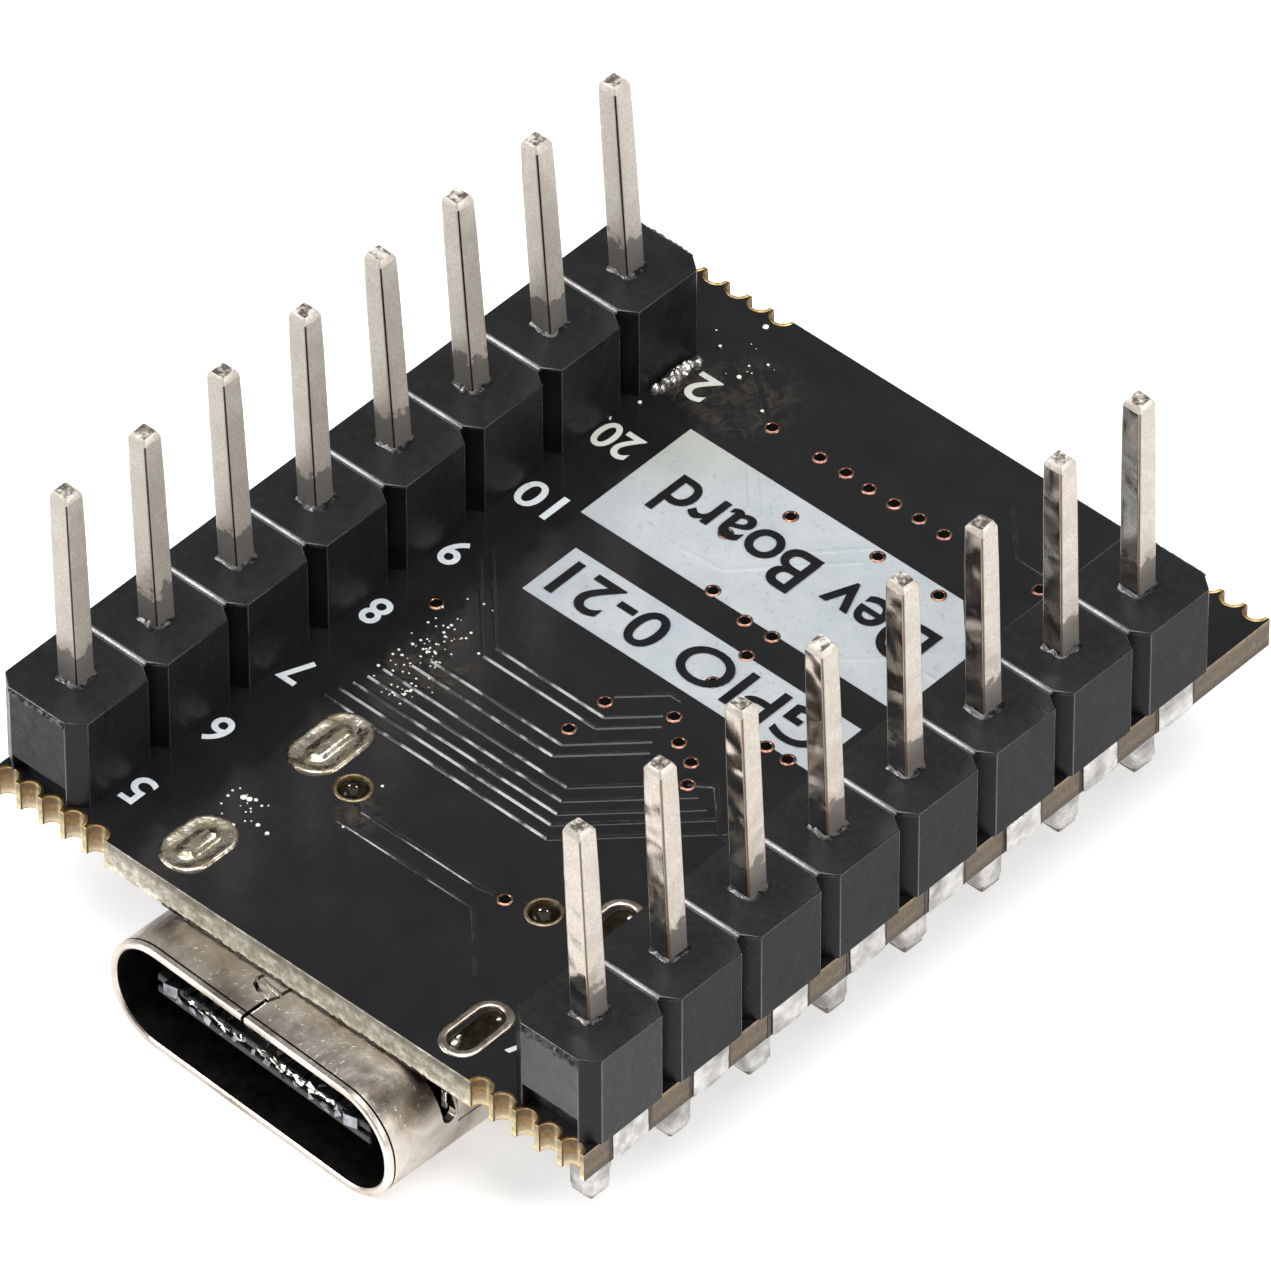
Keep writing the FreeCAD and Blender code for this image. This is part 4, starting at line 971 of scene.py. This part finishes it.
def lettering(text, width, height, centre, name):
    """Outlines of a line of text as a curve in metres, read with the part's -X to the right."""
    curve = bpy.data.curves.new(name, "FONT")
    curve.body = text
    holder = add_object(name, curve)
    for picked in bpy.context.selected_objects:
        picked.select_set(False)
    holder.select_set(True)
    bpy.context.view_layer.objects.active = holder
    bpy.ops.object.convert(target="CURVE")
    outline = bpy.context.view_layer.objects.active
    points = [point.co for spline in outline.data.splines for point in spline.bezier_points]
    low = [min(p[axis] for p in points) for axis in (0, 1)]
    high = [max(p[axis] for p in points) for axis in (0, 1)]
    scale = Matrix.Diagonal((-width * MM / (high[0] - low[0]), -height * MM / (high[1] - low[1]), 1, 1))
    to_centre = Matrix.Translation((-(low[0] + high[0]) / 2, -(low[1] + high[1]) / 2, 0))
    outline.data.transform(Matrix.Translation((centre[0] * MM, centre[1] * MM, 0)) @ scale @ to_centre)
    return outline


def printed(name, text, width, height, centre, weight, base, material):
    """Text as a thin layer on the board, each stroke heavier by weight on both sides."""
    outline = lettering(text, width, height, centre, f"{name}_outline")
    data = outline.data
    data.dimensions = "2D"
    data.fill_mode = "BOTH"
    data.extrude = LAYER * MM
    data.resolution_u = 6
    data.offset = weight * MM
    mesh = evaluated_mesh(outline)
    mesh.transform(Matrix.Translation((0, 0, (base + LAYER) * MM)))
    mesh.materials.clear()
    mesh.materials.append(material)
    bpy.data.objects.remove(outline)
    piece = add_object(name, mesh)
    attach(piece, "board")


def printed_block(name, corners, text, width, height, centre):
    """A block of ink with black text over it."""
    shape = bmesh.new()
    prism(shape, corners, FACE - LAYER, FACE + 2 * LAYER)
    new_piece(name, shape, [PRINT])
    printed(f"{name}_letters", text, width, height, centre, 0.035, FACE + 6 * LAYER, LETTER)


def printing():
    """The two blocks with their text, and the pin numbers beside both rows."""
    wide_block = [(-4.78, 4.27), (4.8, 4.27), (4.8, 6.44), (3.4, 7.9), (-4.78, 7.9)]
    printed_block("printed_block_wide", wide_block, "Dev Board", 7.7, 1.3, (0.0, 6.05))
    narrow_block = [(-4.08, 1.6), (4.47, 1.6), (4.47, 3.35), (-4.08, 3.35)]
    printed_block("printed_block_narrow", narrow_block, "GPIO 0-21", 7.8, 1.15, (0.2, 2.48))
    left = ("5", "6", "7", "8", "9", "10", "20", "21")
    right = ("5V", "G", "3.3", "4", "3", "2", "1", "0")
    for side, labels, x in (("left", left, -5.98), ("right", right, 5.72)):
        for pin, label in enumerate(labels):
            wide = DIGIT_WIDTH if len(label) == 1 else 2 * DIGIT_WIDTH + 0.08
            wide = 0.18 if label == "1" else wide
            centre = (x + 0.22 * (len(label) > 1), PIN_PLACES[pin] + 0.15)
            printed(f"pin_label_{side}_{pin + 1}", label, wide, DIGIT_HEIGHT, centre, 0.03, FACE, LABEL)


INKED_TRACKS = [
    [(-2.95, 7.8), (-2.1, 6.95), (-2.1, 6.5)],
    [(-2.55, 7.8), (-1.7, 6.95), (-1.7, 6.5)],
    [(-2.7, 4.9), (-1.2, 5.0), (0.95, 7.3)],
    [(-0.8, 6.05), (0.85, 7.8)],
    [(-4.7, 6.55), (-3.2, 6.6)],
    [(2.6, 4.6), (3.6, 5.6), (4.7, 5.6)],
]


def ink_ridges():
    """Tracks under the ink of the wide block, which lift it a little."""
    shape = bmesh.new()
    for points in INKED_TRACKS:
        ridge(shape, points, 0.19, 0.02, FACE + LAYER)
    new_piece("ink_ridges", shape, [PRINT], crease=80)


# ---------------------------------------------------------------- headers and pins

# A strip's half width, half length of a segment's side face, and half width of the webs between segments.
STRIP_HALF = 1.25
SIDE_HALF = 0.96
WEB_HALF = 0.84
WEB_LOW = {"left": -2.05, "right": -1.85}
WEB_UNDERCUT = 0.3
UNDERCUT_HALF = 0.8
# Width of the groove faces between segments.
GROOVE = 0.072
TORN_DEPTH = {"left": 0.16, "right": 0.3}
TORN_HALF = 0.83
TORN_COLUMNS = 26


def row_random(side, seed):
    """Repeatable random numbers, different for the two rows."""
    return random.Random(seed + (side == "right"))


def header_segment(shape, row, y, slope_front, slope_back):
    """One notched segment; slope is the width of the groove face at its front and back top edge."""
    half = PITCH / 2
    rings = []
    for height, front, back in (
        (STRIP_LOW.z, half, half),
        (STRIP_HIGH.z - GROOVE, half, half),
        (STRIP_HIGH.z, half - slope_front, half - slope_back),
    ):
        corners = [(-WEB_HALF, -front), (WEB_HALF, -front), (STRIP_HALF, -SIDE_HALF), (STRIP_HALF, SIDE_HALF)]
        corners += [(WEB_HALF, back), (-WEB_HALF, back), (-STRIP_HALF, SIDE_HALF), (-STRIP_HALF, -SIDE_HALF)]
        rings.append([(row + across, y + along, height) for across, along in corners])
    loft(shape, rings)


def torn_edges(side):
    """Ragged skin left along the top of both end faces where the strip was broken from a longer one."""
    rng = row_random(side, 3)
    shape = bmesh.new()
    for end in (-1, 1):
        face = end * PITCH * PIN_COUNT / 2
        rings = []
        for at in range(TORN_COLUMNS):
            x = PIN_ROWS[side] + TORN_HALF * (2 * at / (TORN_COLUMNS - 1) - 1)
            deep = TORN_DEPTH[side] * rng.uniform(0.65, 1.25)
            out = [rng.uniform(0.004, 0.075) * end for _ in range(4)]
            rings.append([
                (x, face - 0.03 * end, -0.02),
                (x, face + out[0] * 0.3, -0.02),
                (x, face + out[1], -0.3 * deep),
                (x, face + out[2], -0.65 * deep),
                (x, face + out[3] * 0.4, -deep),
                (x, face - 0.03 * end, -deep),
            ])
        loft(shape, rings)
    new_piece(f"header_strip_{side}_torn_edges", shape, [HEADER], crease=12)


def header_strip(side):
    """Eight segments with a V groove between neighbours; the webs at both ends are torn and undercut."""
    shape = bmesh.new()
    row = PIN_ROWS[side]
    for y in PIN_PLACES[1:-1]:
        header_segment(shape, row, y, GROOVE, GROOVE)
    for end, y in ((-1, PIN_PLACES[0]), (1, PIN_PLACES[-1])):
        segment = bmesh.new()
        header_segment(segment, row, y, GROOVE if end > 0 else 0.002, GROOVE if end < 0 else 0.002)
        undercut = bmesh.new()
        near, far = sorted((y + end * (PITCH / 2 - WEB_UNDERCUT), y + end * (PITCH / 2 + 0.2)))
        box(undercut, (row - UNDERCUT_HALF, near), (row + UNDERCUT_HALF, far), -2.7, WEB_LOW[side])
        shape.from_mesh(cut_away(segment, [undercut]))
    shape.normal_update()
    finishes = [HEADER, GLINT_PLASTIC, GROOVE_GLINT, TORN[side]]
    limit = PITCH * PIN_COUNT / 2 - 0.01
    for face in shape.faces:
        finish = HEADER
        # Groove faces take the pale finish: a painted glint.
        if abs(face.normal.y) > 0.3 and face.normal.z > 0.3:
            finish = GROOVE_GLINT
        elif abs(face.normal.y) > 0.95 and abs(face.calc_center_median().y) > limit:
            finish = TORN[side]
        face.material_index = finishes.index(finish)
    node = f"header_strip_{side}"
    piece = new_piece(f"{node}_moulding", shape, finishes, replaces=(node,))
    # The rounded edges take the lighter finish: a painted glint.
    bevel(piece, 0.035, 2, material=finishes.index(GLINT_PLASTIC))
    torn_edges(side)


def rounded_square(centre, half, radius, height, tilt):
    """Ring of a square section with rounded corners, its plane tilted by a rise per millimetre."""
    points = []
    inner = half - radius
    for turn, (sx, sy) in enumerate(QUARTERS):
        for c, s in arc(5, turn * math.pi / 2, math.pi / 2):
            x = sx * inner + radius * c
            y = sy * inner + radius * s
            points.append((centre[0] + x, centre[1] + y, height + x * tilt[0] + y * tilt[1]))
    return points


# How far the tips of each row stand off towards -X and -Y: at the first pin, and the change from pin to pin.
PIN_LEAN = {"left": (-0.08, -0.02), "right": (-0.15, 0.015)}


def header_pins(side):
    """Eight square pins, slightly tapered, with eased edges and sheared tips, each a touch out of line."""
    rng = row_random(side, 11)
    shape = bmesh.new()
    bottom = span(f"header_pins_{side}")[0].z
    start, change = PIN_LEAN[side]
    for pin, y in enumerate(PIN_PLACES):
        top = PIN_TOP - rng.uniform(0.0, 0.15)
        bend = start + change * pin + rng.uniform(-0.02, 0.02)
        lean = Vector((bend, bend + rng.uniform(-0.02, 0.02)))
        tilt = (rng.uniform(-0.12, 0.12), rng.uniform(-0.12, 0.12))
        level = (0.0, 0.0)
        # Height, half width, corner radius and slope of each section.
        sections = [
            (bottom, 0.15, 0.03, level),
            (bottom + 0.15, PIN_HALF, 0.06, level),
            (0.0, PIN_HALF, 0.07, level),
            (top - 1.2, 0.287, 0.075, level),
            (top - 0.2, 0.274, 0.075, level),
            (top - 0.17, 0.268, 0.07, level),
            (top - 0.06, 0.205, 0.05, tilt),
            (top - 0.035, 0.185, 0.045, tilt),
        ]
        rings = []
        for height, half, radius, slope in sections:
            shift = lean * max(0.0, height) / top
            centre = (PIN_ROWS[side] + shift.x, y + shift.y)
            rings.append(rounded_square(centre, half, radius, height, slope))
        loft(shape, rings)
    node = f"header_pins_{side}"
    flatten(new_piece(f"{node}_drawn", shape, [PIN[side]], replaces=(node,), crease=28))


def pin_collars(side):
    """Burrs of plastic pushed up round the foot of each pin."""
    rng = row_random(side, 15)
    shape = bmesh.new()
    for y in PIN_PLACES:
        seed = rng.uniform(0, 50)
        rings = []
        for c, s in arc(36, last=False):
            square = 1 / (abs(c) ** 5 + abs(s) ** 5) ** 0.2
            spread = 0.09 + 0.07 * noise.noise(Vector((c * 1.4 + seed, s * 1.4, 0)))
            height = max(0.012, 0.06 + 0.11 * noise.noise(Vector((c * 2.1, s * 2.1 + seed, 3))))
            profile = [
                (0.27, -0.02), (0.29, height * 0.6), (0.31, height),
                (0.31 + spread * 0.5, height * 0.7), (0.31 + spread, -0.01),
            ]
            x = PIN_ROWS[side]
            rings.append([(x + c * square * out, y + s * square * out, up) for out, up in profile])
        loft(shape, rings, closed=True)
    # The burrs take the lighter finish: a painted glint.
    new_piece(f"pin_collars_{side}", shape, [GLINT_PLASTIC], crease=40)


def joint_ring(centre, height, radius, power, wobble, seed):
    """Ring between round (power 2) and square (high power), a little uneven."""
    points = []
    for c, s in arc(28, last=False):
        reach = radius / (abs(c) ** power + abs(s) ** power) ** (1 / power)
        reach *= 1 + wobble * noise.noise(Vector((c * 1.3 + seed, s * 1.3, height * 1.7)))
        points.append((centre[0] + reach * c, centre[1] + reach * s, height))
    return points


def pin_joints(side):
    """Solder under each pin: a hollow-sided cone, then a thick coat over the tail with a pointed end."""
    rng = row_random(side, 21)
    shape = bmesh.new()
    pin_end = span(f"header_pins_{side}")[0].z
    for y in PIN_PLACES:
        seed = rng.uniform(0, 50)
        tip = pin_end - 0.05 + rng.uniform(-0.03, 0.06)
        swell = rng.uniform(0.94, 1.06)
        depth = UNDER - tip
        # Height, radius, squareness and unevenness of each section.
        sections = [
            (UNDER + 0.01, 0.86, 2.0, 0.03),
            (UNDER - 0.03 * depth, 0.83, 2.0, 0.05),
            (UNDER - 0.09 * depth, 0.69, 2.1, 0.08),
            (UNDER - 0.19 * depth, 0.56, 2.2, 0.1),
            (UNDER - 0.33 * depth, 0.47, 2.6, 0.1),
            (UNDER - 0.51 * depth, 0.405, 3.6, 0.08),
            (UNDER - 0.69 * depth, 0.38 * swell, 4.5, 0.07),
            (tip + 0.42, 0.385 * swell, 4.5, 0.08),
            (tip + 0.27, 0.34, 4.0, 0.08),
            (tip + 0.1, 0.2, 3.4, 0.1),
            (tip, 0.09, 2.6, 0.1),
        ]
        loft(shape, [joint_ring((PIN_ROWS[side], y), *section, seed) for section in sections])
    new_piece(f"pin_joints_{side}", shape, [SOLDER], replaces=(f"pin_solder_{side}",), crease=50)


PAD_RADIUS = 0.95
PAD_HALF = 0.78
EDGE_HOLE_RADIUS = 0.545
EDGE_SWELL_HALF = 0.58


def solder_pads(side):
    """Tinned pads on the component side, from each pin out to the board's edge."""
    shape = bmesh.new()
    out = OUTWARD[side]
    for y in PIN_PLACES:
        x = PIN_ROWS[side]
        outline = [(x + out * PAD_RADIUS * c, y + PAD_RADIUS * s) for c, s in arc(16, math.pi / 2, math.pi)]
        outline += [(out * BOARD_HIGH.x, y - PAD_HALF), (out * BOARD_HIGH.x, y + PAD_HALF)]
        prism(shape, outline, UNDER - 0.02, UNDER + 0.005)
    bevel(new_piece(f"solder_pads_{side}", shape, [TINNED]), 0.012, 2)


def edge_fillings(side):
    """Solder in the plated half holes of the long edge, swelling slightly out of it, edged by brown flux."""
    rng = row_random(side, 31)
    shape = bmesh.new()
    film = bmesh.new()
    out = OUTWARD[side]
    edge = out * BOARD_HIGH.x
    levels = [(-0.03, 0.93), (0.02, 0.99), (0.2, 1.0), (0.4, 0.985), (0.6, 1.0), (0.77, 0.99), (0.812, 0.92)]
    for y in PIN_PLACES:
        swell = rng.uniform(0.05, 0.09)
        slant = rng.uniform(-0.04, 0.04)
        hole = [(EDGE_HOLE_RADIUS * c, EDGE_HOLE_RADIUS * s) for c, s in arc(12, math.pi / 2, math.pi)]
        outline = [(edge + out * inward, y + along) for inward, along in hole]
        for c, s in arc(12, -math.pi / 2, math.pi)[1:-1]:
            outline.append((edge + out * swell * max(0.0, c) ** 0.4, y + EDGE_SWELL_HALF * s))
        rings = []
        for rise, scale in levels:
            ring = []
            for px, py in outline:
                reach = (px - edge) * (scale if (px - edge) * out < 0 else scale ** 7)
                ring.append((edge + reach, y + (py - y) * scale + slant * rise, UNDER + rise))
            rings.append(ring)
        loft(shape, rings)
        for end in (-1, 1):
            low_y, high_y = sorted((y + end * 0.55, y + end * rng.uniform(0.63, 0.69)))
            low_x, high_x = sorted((edge - out * 0.02, edge + out * 0.012))
            box(film, (low_x, low_y), (high_x, high_y), UNDER + 0.01, FACE - 0.01)
    name = f"edge_fillings_{side}"
    new_piece(name, shape, [SOLDER], replaces=(f"edge_solder_{side}",), crease=50)
    new_piece(f"edge_flux_{side}", film, [RESIN])


# ------------------------------------------------------------------ USB-C receptacle

SHELL_WIDTH = 8.74
SHELL_HEIGHT = 3.0
SHELL_CORNER = 1.42
SHELL_WALL = 0.2
SHELL_LENGTH = 7.35
FLAT_X = SHELL_WIDTH / 2 - SHELL_CORNER
FLAT_Z = SHELL_HEIGHT / 2 - SHELL_CORNER
SHELL_MIDDLE_Z = SHELL_FLOOR + SHELL_HEIGHT / 2
MOUTH_DEPTH = 4.75
LIP_DEPTH = 0.16
# The relief slots beside the tabs: depths from the mouth, half width, and height of their low end.
RELIEFS = (1.87, 3.4, 6.07, 7.6)
RELIEF_HALF = 0.2
RELIEF_LOW = 0.17
# The tabs, and the window in the top between the rear ones.
TAB_ROWS = (2.65, 6.85)
TAB_HALF = 0.55
TAB_REACH = 0.78
WINDOW_HALF = 3.5
WINDOW_LENGTH = 1.9


def shell_section(inset, y):
    """Ring of the shell's rounded section, inset from the outside, at a depth from the mouth."""
    radius = SHELL_CORNER - inset
    points = []
    for turn, (sx, sz) in enumerate(QUARTERS):
        for c, s in arc(12, turn * math.pi / 2, math.pi / 2):
            points.append((sx * FLAT_X + radius * c, y, sz * FLAT_Z + radius * s))
    return points


def groove(points, width, low, high):
    """Upright-walled solids along a polyline in plan, for cutting a seam."""
    cutters = []
    for start, end in zip(points, points[1:]):
        a, b = Vector(start), Vector(end)
        along = (b - a).normalized() * width / 2
        side = Vector((-along.y, along.x))
        corners = [a - along - side, b + along - side, b + along + side, a - along + side]
        cutter = bmesh.new()
        prism(cutter, [(c.x, c.y) for c in corners], low, high)
        cutters.append(cutter)
    return cutters


def cut_away(shape, cutters):
    """Mesh of the first solid with each of the others taken away."""
    kept = mesh_object("kept_solid", shape)
    tools = [mesh_object(f"cutter_{at}", cutter) for at, cutter in enumerate(cutters)]
    for tool in tools:
        modifier = kept.modifiers.new("cut", "BOOLEAN")
        modifier.operation = "DIFFERENCE"
        modifier.solver = "EXACT"
        modifier.object = tool
    mesh = evaluated_mesh(kept)
    for item in [kept] + tools:
        bpy.data.objects.remove(item)
    return mesh


def into_place(shape):
    """Moves a shape made about the mouth's middle to the receptacle's turned place on the board."""
    to_middle = Matrix.Translation((0, -MOUTH_DEPTH, 0))
    turned = Matrix.Rotation(USB_TURN, 4, "Z")
    placed = Matrix.Translation((SLOT_MIDDLE.x, SLOT_MIDDLE.y, SHELL_MIDDLE_Z))
    bmesh.ops.transform(shape, matrix=placed @ turned @ to_middle, verts=shape.verts)


def usb_shell():
    """Drawn steel tube with a rolled lip, a dovetailed seam, relief slots beside its tabs, and the tabs."""
    tube = bmesh.new()
    lip = [
        (0.0, SHELL_LENGTH), (0.0, 0.3), (0.0, LIP_DEPTH + 0.05), (0.035, LIP_DEPTH + 0.035),
        (0.037, LIP_DEPTH + 0.01), (0.0, LIP_DEPTH), (0.002, 0.04), (0.03, 0.006), (0.09, 0.0),
        (0.15, 0.012), (0.188, 0.05), (SHELL_WALL, 0.12), (SHELL_WALL, SHELL_LENGTH),
    ]
    loft(tube, [shell_section(inset, y) for inset, y in lip], closed=True)

    top = SHELL_HEIGHT / 2
    low, high = top - 0.35, top + 0.1
    seam = [(-0.16, -0.2), (-0.16, 0.71), (-0.25, 0.85), (-0.52, 0.84), (-0.69, 0.92), (-0.78, 1.09)]
    cutters = groove(seam + [(-0.74, 1.27)], 0.1, low, high)
    cutters += groove([(-0.6, 1.1), (-0.08, 1.06)], 0.14, low, high)
    cutters += groove([(-0.14, 0.72), (-0.04, 0.98)], 0.09, low, high)
    cutters += groove([(-0.05, 1.1), (0.0, 1.5), (0.0, SHELL_LENGTH + 0.2)], 0.09, low, high)
    window = bmesh.new()
    front, back = SHELL_LENGTH - WINDOW_LENGTH, SHELL_LENGTH + 0.2
    box(window, (-WINDOW_HALF, front), (WINDOW_HALF, back), 0.75, top + 0.2)
    cutters.append(window)
    for side, y in product((-1, 1), RELIEFS):
        outline = [(y - RELIEF_HALF, top + 0.2), (y + RELIEF_HALF, top + 0.2)]
        for c, s in arc(8, sweep=math.pi):
            outline.append((y + RELIEF_HALF * c, RELIEF_LOW + RELIEF_HALF * (1 - s)))
        relief = bmesh.new()
        loft(relief, [[(x, *point) for point in outline] for x in sorted((side * 3.5, side * 4.7))])
        cutters.append(relief)
    shape = bmesh.new()
    shape.from_mesh(cut_away(tube, cutters))
    # Faces inside the shell and in the crease behind the lip take the near-black finish: painted shade.
    for face in shape.faces:
        middle = face.calc_center_median()
        over = Vector((max(0.0, abs(middle.x) - FLAT_X), max(0.0, abs(middle.z) - FLAT_Z)))
        short = min(0.0, max(abs(middle.x) - FLAT_X, abs(middle.z) - FLAT_Z))
        inside = over.length + short < SHELL_CORNER - 0.7 * SHELL_WALL and middle.y > 0.06
        crease = LIP_DEPTH < middle.y < LIP_DEPTH + 0.05
        face.material_index = 1 if inside or crease else 0
    for side, y in product((-1, 1), TAB_ROWS):
        inner, outer = sorted((side * (SHELL_WIDTH / 2 - SHELL_WALL), side * SHELL_WIDTH / 2))
        box(shape, (inner, y - TAB_HALF), (outer, y + TAB_HALF), 0.02, top + TAB_REACH)
    into_place(shape)
    new_piece("usb_shell_drawn", shape, [SHELL, INSIDE_SHADE], replaces=("usb_shell",), crease=28)

    # Bright bars in the seam's cross groove and the front relief slots: metal edges whose brightness is a
    # painted highlight.
    bars = bmesh.new()
    prism(bars, [(-0.56, 1.05), (-0.1, 1.02), (-0.1, 1.1), (-0.56, 1.14)], top - 0.15, top - 0.03)
    for side in (-1, 1):
        near, far = sorted((side * 4.0, side * 4.14))
        box(bars, (near, RELIEFS[0] + 0.08), (far, RELIEFS[0] + 0.15), 0.35, 0.85)
    into_place(bars)
    bevel(new_piece("usb_spring_edge_glints", bars, [CONTACT]), 0.02, 2)

    rng = random.Random(43)
    # A dark ragged strip along the gap between the board's edge and the shell: painted shadow.
    gap_shadow = bmesh.new()
    rings = []
    for at in range(90):
        x = -3.75 + 7.95 * at / 89
        y = BOARD_LOW.y - rng.uniform(0.004, 0.03)
        low = UNDER - rng.uniform(0.02, 0.035)
        high = UNDER + rng.uniform(0.0, 0.07)
        rings.append([(x, y + 0.25, low), (x, y, low), (x, y, high), (x, y + 0.25, high)])
    loft(gap_shadow, rings)
    new_piece("usb_board_gap_shadow", gap_shadow, [RESIN], crease=20)

    # Bright beads along the seam's edge stand in for its highlight: a painted highlight.
    beads = bmesh.new()
    for at in range(16):
        y = 0.24 + 0.03 * at + rng.uniform(-0.01, 0.01)
        x = -0.105 + rng.uniform(-0.01, 0.01)
        dome(beads, (x, y), rng.uniform(0.018, 0.032), 0.02, top - 0.004, segments=8)
    into_place(beads)
    new_piece("usb_seam_glint_beads", beads, [CONTACT], crease=80)


def contact_tips():
    """Bright uneven chips of plating at the contacts' front ends, whitened as painted glints, and the two
    side latches of the tongue.
    """
    rng = random.Random(41)
    front = 0.3
    upper = TONGUE_TOP - SHELL_MIDDLE_Z

    def chip(shape, middle, reach):
        corners = []
        for _ in range(9):
            corners.append(shape.verts.new([at + rng.uniform(-1, 1) * far for at, far in zip(middle, reach)]))
        bmesh.ops.convex_hull(shape, input=corners)

    # Bright chips at the contacts' front ends: plating whitened as painted glints.
    glint_chips = bmesh.new()
    for _ in range(40):
        middle = (rng.uniform(-2.6, 2.6), front + rng.uniform(0.0, 0.1), upper + rng.uniform(0.0, 0.06))
        chip(glint_chips, middle, (rng.uniform(0.07, 0.2), 0.06, 0.06))
    into_place(glint_chips)
    new_piece("usb_contact_tip_glints", glint_chips, [CONTACT], crease=30)
    dull = bmesh.new()
    for contact in range(12):
        x = (contact - 5.5) * 0.46 + rng.uniform(-0.05, 0.05)
        chip(dull, (x, front + 0.02, upper - rng.uniform(0.1, 0.2)), (0.14, 0.05, rng.uniform(0.1, 0.18)))
        chip(dull, (x + 0.1, front + 0.4, upper + 0.03), (0.12, 0.35, 0.04))
    for side in (-1, 1):
        inner, outer = sorted((side * 2.64, side * 2.98))
        latch = [(inner, front), (outer, front + 0.1), (outer, front + 0.9), (inner, front + 0.9)]
        prism(dull, latch, upper - 0.3, upper + 0.04)
    into_place(dull)
    bevel(new_piece("usb_contact_roots", dull, [LATCH]), 0.02, 2)


# ----------------------------------------------------------------------- the scene


FLOOR_REACH = 1500
FLOOR_DEPTH = 5


def studio():
    """Pale floor, soft light all round and the camera."""
    f = Finish("pale_floor")
    f.set(Base_Color=f.mottle(f.noise(0.02, 2), 0.84, 0.87), Roughness=0.85)
    f.set(Emission_Color=(1.0, 1.0, 1.0), Emission_Strength=0.42, Specular_IOR_Level=0.2)
    shape = bmesh.new()
    corner = (FLOOR_REACH, FLOOR_REACH)
    box(shape, (-FLOOR_REACH, -FLOOR_REACH), corner, SHELL_FLOOR - FLOOR_DEPTH, SHELL_FLOOR)
    mesh_object("floor", shape, MM, [f.material])

    world = bpy.data.worlds.new("studio_air")
    world.use_nodes = True
    world.node_tree.nodes["Background"].inputs["Color"].default_value = (0.96, 0.98, 1.0, 1)
    world.node_tree.nodes["Background"].inputs["Strength"].default_value = 0.23
    bpy.context.scene.world = world

    lamps = [
        ("overhead_box", (30, -20, 260), 260, 260, 0.7),
        ("left_lamp", (-130, -15, 230), 45, 45, 0.045),
        ("back_lamp", (20, 137, 220), 40, 40, 0.03),
        ("front_left_box", (-190, -210, 150), 120, 120, 0.6),
        ("right_box", (260, 60, 120), 150, 120, 0.49),
    ]
    for name, place, wide, high, power in lamps:
        data = bpy.data.lights.new(name, "AREA")
        data.shape = "RECTANGLE"
        data.size = wide * MM
        data.size_y = high * MM
        data.energy = power
        data.color = (1.0, 0.985, 0.96)
        lamp = add_object(name, data)
        lamp.location = Vector(place) * MM
        lamp.rotation_euler = (-Vector(place)).to_track_quat("-Z", "Y").to_euler()

    data = bpy.data.cameras.new("camera")
    data.sensor_width = 36
    data.lens = 500.3
    data.clip_start = 0.01
    data.clip_end = 20
    camera = add_object("camera", data)
    # Directions of the camera's axes in the part's frame.
    right = Vector((0.7366463, 0.67627311, -0.00262813))
    down = Vector((0.47017384, -0.51493341, -0.71678459))
    ahead = Vector((-0.48609545, 0.52678104, -0.69728972))
    turn = Matrix((right, -down, -ahead)).transposed().to_4x4()
    camera.matrix_world = Matrix.Translation(Vector((188.6567, -203.5731, 269.8248)) * MM) @ turn
    bpy.context.scene.camera = camera
    bpy.context.scene.view_settings.view_transform = "Standard"


dress_cad_nodes()
for button in BUTTONS:
    snap_dome(button)
raised_tracks()
vias("vias_back", VIAS, FACE, 1)
vias("vias_front", UNDER_VIAS, UNDER, -1)
snap_hole_rims()
slot_rings()
slot_fillings()
flux_droplets()
printing()
ink_ridges()
for board_side in PIN_ROWS:
    header_strip(board_side)
    header_pins(board_side)
    pin_collars(board_side)
    pin_joints(board_side)
    solder_pads(board_side)
    edge_fillings(board_side)
usb_shell()
contact_tips()
studio()
